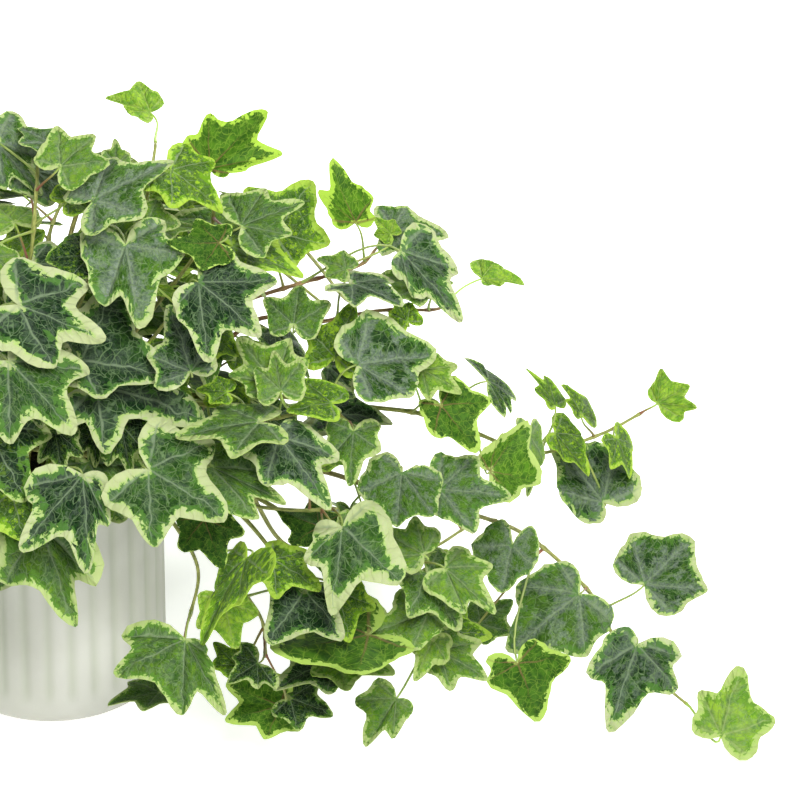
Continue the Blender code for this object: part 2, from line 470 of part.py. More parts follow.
class Leaf:
    """A lobed blade on its stalk. along, side and up are the blade's own directions.

    left and right list each half's corners from the middle lobe to the basal lobe, as (angle in
    degrees, reach as a share of the length, the angle that this corner has on an even blade).
    """

    def __init__(self, heart, along, side, length, left, right, rng):
        self.heart, self.length, self.left, self.right = heart, length, left, right
        self.along, self.side = along, side
        self.up = along.cross(side)
        self.droop = rng.uniform(0.05, 0.16)
        self.fold = rng.uniform(-0.06, 0.16)
        self.pleat = rng.uniform(0.015, 0.04)
        self.wave = (rng.uniform(0.0, 0.035), rng.uniform(0, 2 * math.pi))
        self.start = None

    def height(self, angle, reach, nominal):
        """How far the blade stands off its own plane, as a share of its length."""
        across = abs(math.sin(angle)) * reach
        lobe = math.cos(2 * math.pi * nominal / LOBE_STEP)
        depth, phase = self.wave
        return (self.fold * across - self.droop * reach**2 - self.pleat * lobe * reach
                + depth * math.sin(3 * angle + phase) * reach**2)

    def surface(self, angle, reach, nominal):
        flat = self.along * math.cos(angle) + self.side * math.sin(angle)
        return self.heart + (flat * reach + self.up * self.height(angle, reach, nominal)) * self.length

    def outline(self, swell):
        """Blade corners from the left basal lobe round the tip to the right one."""
        corners = [(math.radians(angle), reach, nominal) for angle, reach, nominal in reversed(self.left)]
        corners += [(-math.radians(angle), reach, nominal) for angle, reach, nominal in self.right[1:]]
        grow = swell / self.length
        return [self.surface(angle, reach + grow, nominal) for angle, reach, nominal in corners]

    def stalk(self):
        """Start, bend and end of the stalk, from the stem to the heart of the blade."""
        span = (self.heart - self.start).length
        near = self.start + (self.heart - self.start) * 0.3 + Vector((0, 0, 0.06 * span))
        under = self.heart - (self.along * 0.85 + self.up * 0.35) * span * 0.34
        middle = (self.start + 3 * near + 3 * under + self.heart) / 8
        return middle

    def mesh(self, swell=0.0, with_stalk=True):
        heart_half = HEART_HALF + swell
        edge_half = EDGE_HALF + swell
        stalk_half = STALK_HALF + swell * 0.7
        rim = self.outline(swell)
        top = [self.heart + self.side * stalk_half + self.up * heart_half]
        low = [self.heart + self.side * stalk_half - self.up * heart_half]
        for corner in rim:
            top.append(corner + self.up * edge_half)
            low.append(corner - self.up * edge_half)
        top.append(self.heart - self.side * stalk_half + self.up * heart_half)
        low.append(self.heart - self.side * stalk_half - self.up * heart_half)
        count = len(top)
        tip = count // 2
        points = top + low
        fan = [(count - 1, i, i - 1) for i in range(count - 2, tip, -1)]
        fan += [(count - 1, tip, 0)]
        fan += [(0, i, i - 1) for i in range(tip, 1, -1)]
        faces = fan + [(c + count, b + count, a + count) for a, b, c in fan]
        for a in range(count - 1, 0, -1):
            b = a - 1
            faces += [(a + count, b + count, b), (a + count, b, a)]
        ring = [count, 2 * count - 1, count - 1, 0]
        if with_stalk and self.start is not None:
            ring = self.add_stalk(points, faces, ring, swell)
        faces += [(ring[0], ring[1], ring[2]), (ring[0], ring[2], ring[3])]
        return points, faces

    def add_stalk(self, points, faces, ring, swell):
        middle = self.stalk()
        bends = [(middle, self.start - self.heart), (self.start, self.start - middle)]
        if (self.heart - self.start).length < SHORT_STALK:
            bends.pop(0)
        for place, ahead in bends:
            ahead = ahead.normalized()
            flat = self.side - ahead * self.side.dot(ahead)
            if flat.length < 0.35:
                raised = (self.up - ahead * self.up.dot(ahead)).normalized()
                flat = ahead.cross(raised)
            flat.normalize()
            raised = flat.cross(ahead)
            half = STALK_MID + swell * 0.7
            first = len(points)
            for across, lift in ((1, -1), (-1, -1), (-1, 1), (1, 1)):
                points.append(place + (flat * across + raised * lift) * half)
            for k in range(4):
                a, b = ring[k], ring[(k + 1) % 4]
                c, d = first + (k + 1) % 4, first + k
                faces += [(a, b, c), (a, c, d)]
            ring = [first, first + 1, first + 2, first + 3]
        return ring


class Shape:
    """A mesh that others keep clear of, with the ball that holds it."""

    def __init__(self, points, faces, owner):
        self.tree = BVHTree.FromPolygons([tuple(point) for point in points], faces)
        low = Vector([min(point[i] for point in points) for i in range(3)])
        high = Vector([max(point[i] for point in points) for i in range(3)])
        self.middle = (low + high) / 2
        self.radius = (high - low).length / 2
        self.owner = owner

    def hits(self, other):
        if (self.middle - other.middle).length > self.radius + other.radius:
            return False
        return bool(self.tree.overlap(other.tree))


class Plant:
    def __init__(self):
        self.stems = [Stem(path) for path in spread_stems(stem_routes())]
        self.leaves = [[] for _ in self.stems]
        self.leaf_shapes = []
        self.stem_shapes = []
        for i, stem in enumerate(self.stems):
            points, faces = tube(stem.points, [radius + 0.4 for radius in stem.radii], STEM_SIDES)
            self.stem_shapes.append(Shape(points, faces, i))
        rim = [Vector((0, 0, -1.0)), Vector((0, 0, POT_HEIGHT + 2.0))]
        self.pot_shape = Shape(*tube(rim, [POT_RADIUS + 2.0] * 2, 24), None)

    def clear(self, leaf, owner):
        points, faces = leaf.mesh(LEAF_CLEARANCE)
        if min(point.z for point in points) < FLOOR_CLEARANCE:
            return False
        for point in points:
            if math.hypot(point.x, point.y) < POT_RADIUS + 2.0 and point.z < POT_HEIGHT + 2.0:
                return False
        whole = Shape(points, faces, owner)
        if whole.hits(self.pot_shape):
            return False
        blade = Shape(*leaf.mesh(LEAF_CLEARANCE, with_stalk=False), owner)
        for shape in self.stem_shapes:
            if (blade if shape.owner == owner else whole).hits(shape):
                return False
        return not any(whole.hits(shape) for shape in self.leaf_shapes)

    def try_leaf(self, leaf, owner, longest):
        """Puts the leaf on the stem's nearest free node from which its stalk runs clear."""
        stem = self.stems[owner]
        ranked = []
        for node in stem.nodes():
            gap = leaf.heart - node
            if gap.length < STALK_SHORTEST or gap.length > longest:
                continue
            if any((node - used).length < STALKS_APART for used in stem.used):
                continue
            facing = gap.normalized().dot(leaf.along)
            ranked.append((gap.length * (1.35 - 0.35 * facing), len(ranked), node))
        ranked.sort()
        for _, _, node in ranked[:5]:
            leaf.start = node
            if self.clear(leaf, owner):
                stem.used.append(node)
                self.leaves[owner].append(leaf)
                self.leaf_shapes.append(Shape(*leaf.mesh(), owner))
                return True
        return False

    def add_read_leaves(self):
        """Nearest leaves first. One that would cross a placed leaf moves along the line of sight."""
        order = sorted(range(len(READ_LEAVES)), key=lambda i: READ_LEAVES[i][4])
        shifts = [0.0]
        for step in range(1, 18):
            shifts += [-3.0 * step, 3.0 * step]
        for longest in STALK_LONGEST:
            left = []
            for i in order:
                depth = mound_front(*READ_LEAVES[i][1], READ_LEAVES[i][4])
                for shift in shifts:
                    if self.try_leaf(read_leaf(i, depth + shift), READ_LEAVES[i][0] - 1, longest):
                        break
                else:
                    left.append(i)
            order = left

    def add_hidden_leaves(self):
        rng = random.Random(HIDDEN_SEED + 1)
        for owner in range(len(ROUTES), len(self.stems)):
            nodes = self.stems[owner].nodes()
            count = max(3, int(sum((b - a).length for a, b in zip(nodes, nodes[1:])) / LEAF_EVERY))
            self.grow_leaves(owner, count, None, rng)
        for number, count in REAR_LEAVES.items():
            self.grow_leaves(number - 1, count, REAR, rng)

    def in_open_view(self, leaf):
        """Whether the leaf would show where the photograph shows the bare background."""
        for point in leaf.outline(0.0):
            forward = point.dot(TOWARDS)
            nearness = VIEW_DISTANCE / (VIEW_DISTANCE - forward)
            across = VIEW_CENTRE[0] + (point.dot(ACROSS) - VIEW_CENTRE[0]) * nearness
            rise = VIEW_CENTRE[1] + (point.dot(RISING) - VIEW_CENTRE[1]) * nearness
            if across < FRAME_LEFT:
                continue
            if rise > float(np.interp(across, *zip(*SKYLINE))):
                return True
            for left, right, low, high in VIEW_GAPS:
                if left < across < right and low < rise < high:
                    return True
        return False

    def grow_leaves(self, owner, count, outward, rng):
        stem = self.stems[owner]
        nodes = stem.nodes()
        for i in range(count):
            share = (i + 0.6) / count
            node = nodes[min(len(nodes) - 1, int(share * len(nodes)))]
            for attempt in range(LEAF_TRIES):
                leaf = grown_leaf(node, stem.tangent(node), outward or outer_side(node), i, share, rng)
                if not self.in_open_view(leaf) and self.try_leaf(leaf, owner, STALK_USUAL):
                    break


def outer_side(node):
    """Away from the middle of the mound, and upwards near the floor."""
    outward = mound_normal(node)
    outward.z = max(outward.z, 0.15)
    return (outward + Vector((0, 0, max(0.0, 1.0 - node.z / 60.0)))).normalized()


def grown_leaf(node, ahead, outward, turn, share, rng):
    sideways = ahead.cross(outward).normalized() * (1 if turn % 2 else -1)
    length = rng.uniform(40, 54) * (1.0 - 0.45 * max(0.0, share - 0.55) / 0.45)
    reach = outward * rng.uniform(0.5, 1.0) + sideways * rng.uniform(0.2, 1.0)
    reach.z += rng.uniform(0.0, 0.5)
    heart = node + reach.normalized() * rng.uniform(16, 40)
    facing = (outward + Vector((0, 0, 0.55)) + random_lean(rng, 0.35)).normalized()
    along = ahead * rng.uniform(0.1, 0.9) + sideways * rng.uniform(0.0, 0.9)
    along.z -= rng.uniform(0.2, 0.9)
    along = (along - facing * along.dot(facing)).normalized()
    kind = KINDS["young" if length < 30 else "plain"]
    left, right = [half_blade(changed(kind[0], rng), changed(kind[1], rng), kind) for _ in range(2)]
    return Leaf(heart, along, facing.cross(along), length, left, right, rng)


def changed(lobe, rng):
    return lobe[0] + rng.uniform(-5, 5), lobe[1] * rng.uniform(0.9, 1.08)


def half_blade(side_lobe, basal_lobe, kind):
    """Corners of one half, from the middle lobe to the basal lobe, with the notches between."""
    corners = [(0.0, 1.0, 0.0)]
    lobes = ((*side_lobe, LOBE_STEP), (*basal_lobe, 2 * LOBE_STEP))
    for lobe, depth in zip(lobes, kind[2:]):
        angle, reach, nominal = corners[-1]
        if depth:
            corners.append(((angle + lobe[0]) / 2, (reach + lobe[1]) / 2 * depth, (nominal + lobe[2]) / 2))
        corners.append(lobe)
    return corners


def random_lean(rng, size):
    return Vector((rng.uniform(-size, size), rng.uniform(-size, size), rng.uniform(-size, size)))


def read_leaf(index, forward):
    """A leaf read from the photograph, at this distance in front of the picture plane.

    Its lobes are laid out on its own sloping plane, so that their tips show where they were read.
    """
    _, heart, tips, slope, _, kind, shows = READ_LEAVES[index]
    kind = KINDS[kind]
    base = seen(*heart, forward)
    face = (ACROSS * slope[0] + RISING * slope[1] + TOWARDS).normalized()
    spans = []
    for tip in tips:
        flat = seen(*tip, forward) - base if tip else None
        spans.append(flat - TOWARDS * (flat.dot(face) / TOWARDS.dot(face)) if tip else None)
    length = spans[0].length
    along = spans[0] / length
    counter = face.cross(along)
    lobes = []
    for i, span in enumerate(spans[1:]):
        turn = -1 if i > 1 else 1
        if span:
            angle = math.degrees(math.atan2(span.dot(counter) * turn, span.dot(along)))
            lobes.append((angle % 360.0, span.length / length))
        else:
            lobes.append(None)
    halves = []
    for own, other in ((lobes[:2], lobes[2:]), (lobes[2:], lobes[:2])):
        side_lobe = own[0] or other[0] or kind[0]
        basal_lobe = own[1] or other[1] or kind[1]
        side_lobe = (min(max(side_lobe[0], 24.0), 84.0), min(max(side_lobe[1], 0.35), 1.15))
        basal_lobe = (min(max(basal_lobe[0], side_lobe[0] + 26.0), 150.0), min(max(basal_lobe[1], 0.25), 0.9))
        halves.append(half_blade(side_lobe, basal_lobe, kind))
    if shows == "under":
        return Leaf(base, along, -counter, length, halves[1], halves[0], random.Random(index + 1))
    return Leaf(base, along, counter, length, halves[0], halves[1], random.Random(index + 1))


def ring_points(sides, radius, height, dents=0.0):
    points = []
    for k in range(sides):
        angle = 2 * math.pi * k / sides
        reach = radius - (dents if k % 2 else 0.0)
        points.append(Vector((math.cos(angle) * reach, math.sin(angle) * reach, height)))
    return points


def turned(rings):
    """A closed solid from rings of equal count, the first and last closed by a middle point."""
    sides = len(rings[0])
    points = [point for ring in rings for point in ring]
    faces = []
    for i in range(len(rings) - 1):
        for k in range(sides):
            a, b = i * sides + k, i * sides + (k + 1) % sides
            faces += [(a, b, b + sides), (a, b + sides, a + sides)]
    first, last = len(points), len(points) + 1
    points.append(Vector((0, 0, rings[0][0].z)))
    points.append(Vector((0, 0, rings[-1][0].z)))
    end = (len(rings) - 1) * sides
    for k in range(sides):
        faces += [(first, (k + 1) % sides, k), (last, end + k, end + (k + 1) % sides)]
    return points, faces


def make_pot(finish):
    sides = 2 * FLUTES
    inner = POT_RADIUS - POT_WALL
    rise = FOOT_ROUNDING
    rings = [
        ring_points(sides, FOOT_RADIUS, 0.0),
        ring_points(sides, FOOT_RADIUS + 0.71 * rise, 0.29 * rise),
        ring_points(sides, POT_RADIUS, rise),
        ring_points(sides, POT_RADIUS, FLUTE_START, FLUTE_DEPTH),
        ring_points(sides, POT_RADIUS, POT_HEIGHT - 6.0, FLUTE_DEPTH),
        ring_points(sides, POT_RADIUS - 0.8, POT_HEIGHT),
        ring_points(sides, inner, POT_HEIGHT),
        ring_points(sides, inner, POT_FLOOR),
    ]
    return solid("pot", *turned(rings), finish)


def make_soil(stems, finish):
    reach = POT_RADIUS - POT_WALL - GAP * 2
    rings = [
        ring_points(SOIL_SIDES, reach, POT_FLOOR + GAP),
        ring_points(SOIL_SIDES, reach, SOIL_TOP - SOIL_CROWN),
        ring_points(SOIL_SIDES, reach * 0.9, SOIL_TOP),
    ]
    soil = solid("soil", *turned(rings), finish)
    holes = []
    for i, stem in enumerate(stems):
        foot = stem.points[0]
        radius = (STEM_ROOT_RADIUS + 2 * GAP) / math.cos(math.pi / HOLE_SIDES)
        low = Vector((foot.x, foot.y, foot.z - 2 * GAP))
        high = Vector((foot.x, foot.y, SOIL_TOP + 5.0))
        holes.append(solid(f"hole_{i}", *tube([low, high], [radius, radius], HOLE_SIDES), finish))
    combine(soil, holes, "DIFFERENCE")
    return soil


def make_vine(number, stem, leaves, finish):
    vine = solid(f"vine_{number:02d}", *tube(stem.points, stem.radii, STEM_SIDES), finish)
    blades = [solid(f"leaf_{number}_{i}", *leaf.mesh(), finish) for i, leaf in enumerate(leaves)]
    combine(vine, blades, "UNION")
    return vine


def grow_plant():
    plant = Plant()
    plant.add_read_leaves()
    plant.add_hidden_leaves()
    return plant


def main():
    for old in list(bpy.data.objects):
        bpy.data.objects.remove(old)
    white = material("pot white", (0.74, 0.73, 0.70), 0.45)
    earth = material("soil brown", (0.06, 0.04, 0.025), 0.95)
    green = material("ivy green", (0.10, 0.22, 0.06), 0.45)
    plant = grow_plant()
    make_pot(white)
    make_soil(plant.stems, earth)
    for number, (stem, leaves) in enumerate(zip(plant.stems, plant.leaves), 1):
        make_vine(number, stem, leaves, green)


if __name__ == "__main__":
    main()
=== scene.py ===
"""Potted variegated ivy as it looks: fine leaves, stems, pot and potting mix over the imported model.

The layout of stems and leaves is grown by the same rules and tables as the solids, in
millimetres. Pieces are made in metres, +Z up, with the origin in the middle of the pot's base.
"""

import math
import random

import bpy
import numpy as np
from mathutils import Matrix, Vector, noise
from mathutils.bvhtree import BVHTree


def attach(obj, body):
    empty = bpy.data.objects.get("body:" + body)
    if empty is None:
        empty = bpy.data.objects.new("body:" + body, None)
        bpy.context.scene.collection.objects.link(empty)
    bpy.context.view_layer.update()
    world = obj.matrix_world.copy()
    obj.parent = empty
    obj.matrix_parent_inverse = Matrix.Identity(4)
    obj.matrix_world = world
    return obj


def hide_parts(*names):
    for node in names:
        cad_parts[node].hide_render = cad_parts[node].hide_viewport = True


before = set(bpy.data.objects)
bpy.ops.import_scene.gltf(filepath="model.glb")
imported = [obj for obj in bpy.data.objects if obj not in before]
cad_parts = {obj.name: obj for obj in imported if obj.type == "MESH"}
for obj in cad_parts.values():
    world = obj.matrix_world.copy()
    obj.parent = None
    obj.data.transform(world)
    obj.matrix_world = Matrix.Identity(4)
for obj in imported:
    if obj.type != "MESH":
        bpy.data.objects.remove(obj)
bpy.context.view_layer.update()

MM = 0.001

# Pot. FLUTE_FADE gives where the grooves start, the height over which they deepen above the foot,
# and the height over which they fade out under the rim. AXIS is the radius of the profile's ends.
POT_RADIUS = 60.0
POT_HEIGHT = 155.0
POT_WALL = 3.5
POT_FLOOR = 6.0
FLUTES = 30
FLUTE_DEPTH = 1.3
FOOT_RADIUS = 50.0
FOOT_ROUNDING = 10.0
FOOT_STEPS = 8
FOOT_HOLLOW = 1.2
AXIS = 0.001
POT_ROUND = 300
FLUTE_SHAPE = 1.7
FLUTE_FADE = (12.5, 11.0, 3.0)
STRAIGHT_HEIGHTS = (11, 12.5, 14, 15.5, 17, 18.5, 20, 21.5, 23, 25, 28, 40, 60, 80, 100, 120, 140, 149, 151,
                    152.5)
GAP = 0.3

# Soil, with its crumbs as small uneven octahedra
SOIL_TOP = 143.0
SOIL_CROWN = 3.0
SOIL_ROUND = 120
SOIL_STEPS = 30
SOIL_SEED = 3
CRUMBS = 420
CRUMB_AXES = ((1, 0, 0), (-1, 0, 0), (0, 1, 0), (0, -1, 0), (0, 0, 0.8), (0, 0, -0.8))
CRUMB_FACES = ((0, 2, 4), (2, 1, 4), (1, 3, 4), (3, 0, 4), (2, 0, 5), (1, 2, 5), (3, 1, 5), (0, 3, 5))
ROOT_DEPTH = 12.0
RING_RADII = (14.0, 30.0, 46.0)

# Stems and leaf stalks
STEM_ROOT_RADIUS = 2.3
STEM_TIP_RADIUS = 1.1
STEM_SIDES = 4
STEM_STEP = 8.0
STEPS_A_RING = 4
ROOT_STEPS = 4
NODE_SHARES = (0.0, 0.27, 0.53, 0.76)
NODES_TRIED = 5
STEM_APART = 9.0
RIM_CLEARANCE = 13.0
OVER_RIM = 8.0
BESIDE_RIM = 4.0
STALK_HALF = 0.8
STALK_MID = 0.62
SHORT_STALK = 32.0

# Blades
EDGE_HALF = 0.35
HEART_HALF = 0.7
LEAF_CLEARANCE = 1.5
FLOOR_CLEARANCE = 1.2
POT_CLEARANCE = 2.0
POT_SIDES = 24

# The photograph's line of sight: it looks down by this angle, from far off
VIEW_PITCH = math.radians(32.0)
VIEW_DISTANCE = 4000.0
VIEW_CENTRE = (185.0, 142.0)
ACROSS = Vector((1.0, 0.0, 0.0))
RISING = Vector((0.0, math.sin(VIEW_PITCH), math.cos(VIEW_PITCH)))
TOWARDS = Vector((0.0, -math.cos(VIEW_PITCH), math.sin(VIEW_PITCH)))

# Steps of a smooth curve between two controls, and how stems are moved apart: the rounds, the
# share of an overlap that a round takes away, the most a point moves in a round, and the lowest
# that a point may lie
CURVE_STEPS = 24
SPREAD_ROUNDS = 80
SPREAD_SHARE = 0.35
SPREAD_MOST = 3.0
STEM_LOWEST = 4.0
SEEN_LOWEST = 5.0

# The mound that the outer leaves lie on
MOUND_HEIGHT = 130.0
MOUND_WIDTH = 260.0
MOUND_DEPTH = 125.0
MOUND_BACK = 170.0
MOUND_RISE = 205.0

# Blade shapes. Each has its side lobe and its basal lobe, as (angle from the middle lobe in
# degrees, reach as a share of the blade's length), and how far the two notches beside each
# side lobe reach, as a share of the lobes next to them. Without a second notch the blade runs
# straight from side lobe to basal lobe.
LOBE_STEP = 57.0
KINDS = {
    "broad": ((57, 0.76), (115, 0.52), 0.68, 0.78),
    "deep": ((56, 0.78), (112, 0.52), 0.50, 0.62),
    "shallow": ((55, 0.78), (116, 0.53), 0.82, 0.90),
    "plain": ((57, 0.76), (114, 0.54), 0.68, None),
    "young": ((52, 0.66), (116, 0.45), 0.70, None),
}

# Stems read from the photograph. Each has its ring in the soil, the direction of its root in
# degrees, and a route of (across, rise, inset): across and rise in the picture plane from the
# middle of the pot's foot, and inset behind the mound's surface.
ROUTES = (
    (0, -62, ((38, 205, 75), (47, 232, 48), (49, 250, 32), (52, 262, 24), (54, 280, 18))),
    (0, -130, ((-16, 205, 75), (-12, 225, 48), (-10, 252, 32), (-9, 272, 22))),
    (0, -95, ((14, 195, 75), (22, 215, 58), (28, 240, 48), (31, 258, 40))),
    (0, -20, ((60, 200, 75), (76, 220, 48), (86, 240, 34), (84, 258, 26))),
    (1, -3, ((75, 180, 85), (109, 198, 48), (127, 204, 40), (143, 205, 35), (160, 212, 28), (173, 224, 22))),
    (1, -20, ((80, 165, 85), (113, 187, 60), (129, 185, 50), (150, 184, 42), (169, 190, 34), (186, 187, 28),
              (208, 192, 22))),
    (1, -54, ((45, 165, 75), (60, 185, 45), (72, 200, 30))),
    (1, -37, ((62, 140, 85), (90, 138, 58), (105, 132, 46), (120, 133, 40), (140, 138, 34), (158, 130, 28))),
    (1, -118, ((-22, 150, 65), (-34, 168, 38), (-38, 186, 28))),
    (1, -92, ((0, 145, 60), (4, 156, 40), (12, 162, 32))),
    (2, -100, ((2, 118, 48), (2, 112, 26), (-8, 98, 20), (-18, 86, 18))),
    (2, -66, ((42, 118, 55), (58, 114, 34), (76, 114, 32), (95, 122, 32), (112, 130, 28))),
    (2, -38, ((62, 104, 68), (92, 88, 50), (113, 89, 42), (138, 80, 36), (152, 84, 30))),
    (1, 15, ((110, 145, 100), (150, 140, 78), (183, 137, 52), (203, 133, 44), (222, 126, 38), (240, 118, 38),
             (262, 114, 45), (280, 119, 50), (300, 127, 54), (316, 136, 56))),
    (2, -2, ((105, 112, 100), (155, 101, 68), (185, 90, 50), (220, 82, 38), (250, 71, 28), (269, 57, 20),
             (285, 44, 14), (293, 25, 12), (308, 4, 10), (328, -12, 6), (340, -22, 2))),
    (2, -16, ((100, 95, 88), (140, 72, 66), (172, 60, 50), (190, 48, 40), (199, 32, 34), (198, 15, 30),
              (196, 2, 26))),
    (2, -78, ((40, 106, 56), (58, 84, 44), (75, 58, 38), (76, 42, 36), (72, 24, 34))),
    (2, -52, ((58, 108, 66), (72, 80, 54), (86, 56, 44), (97, 45, 40), (110, 32, 36), (110, 18, 32),
              (113, 4, 26))),
    (2, -28, ((80, 98, 80), (108, 72, 62), (126, 48, 54), (140, 28, 48), (150, 12, 40), (156, 2, 34))),
)

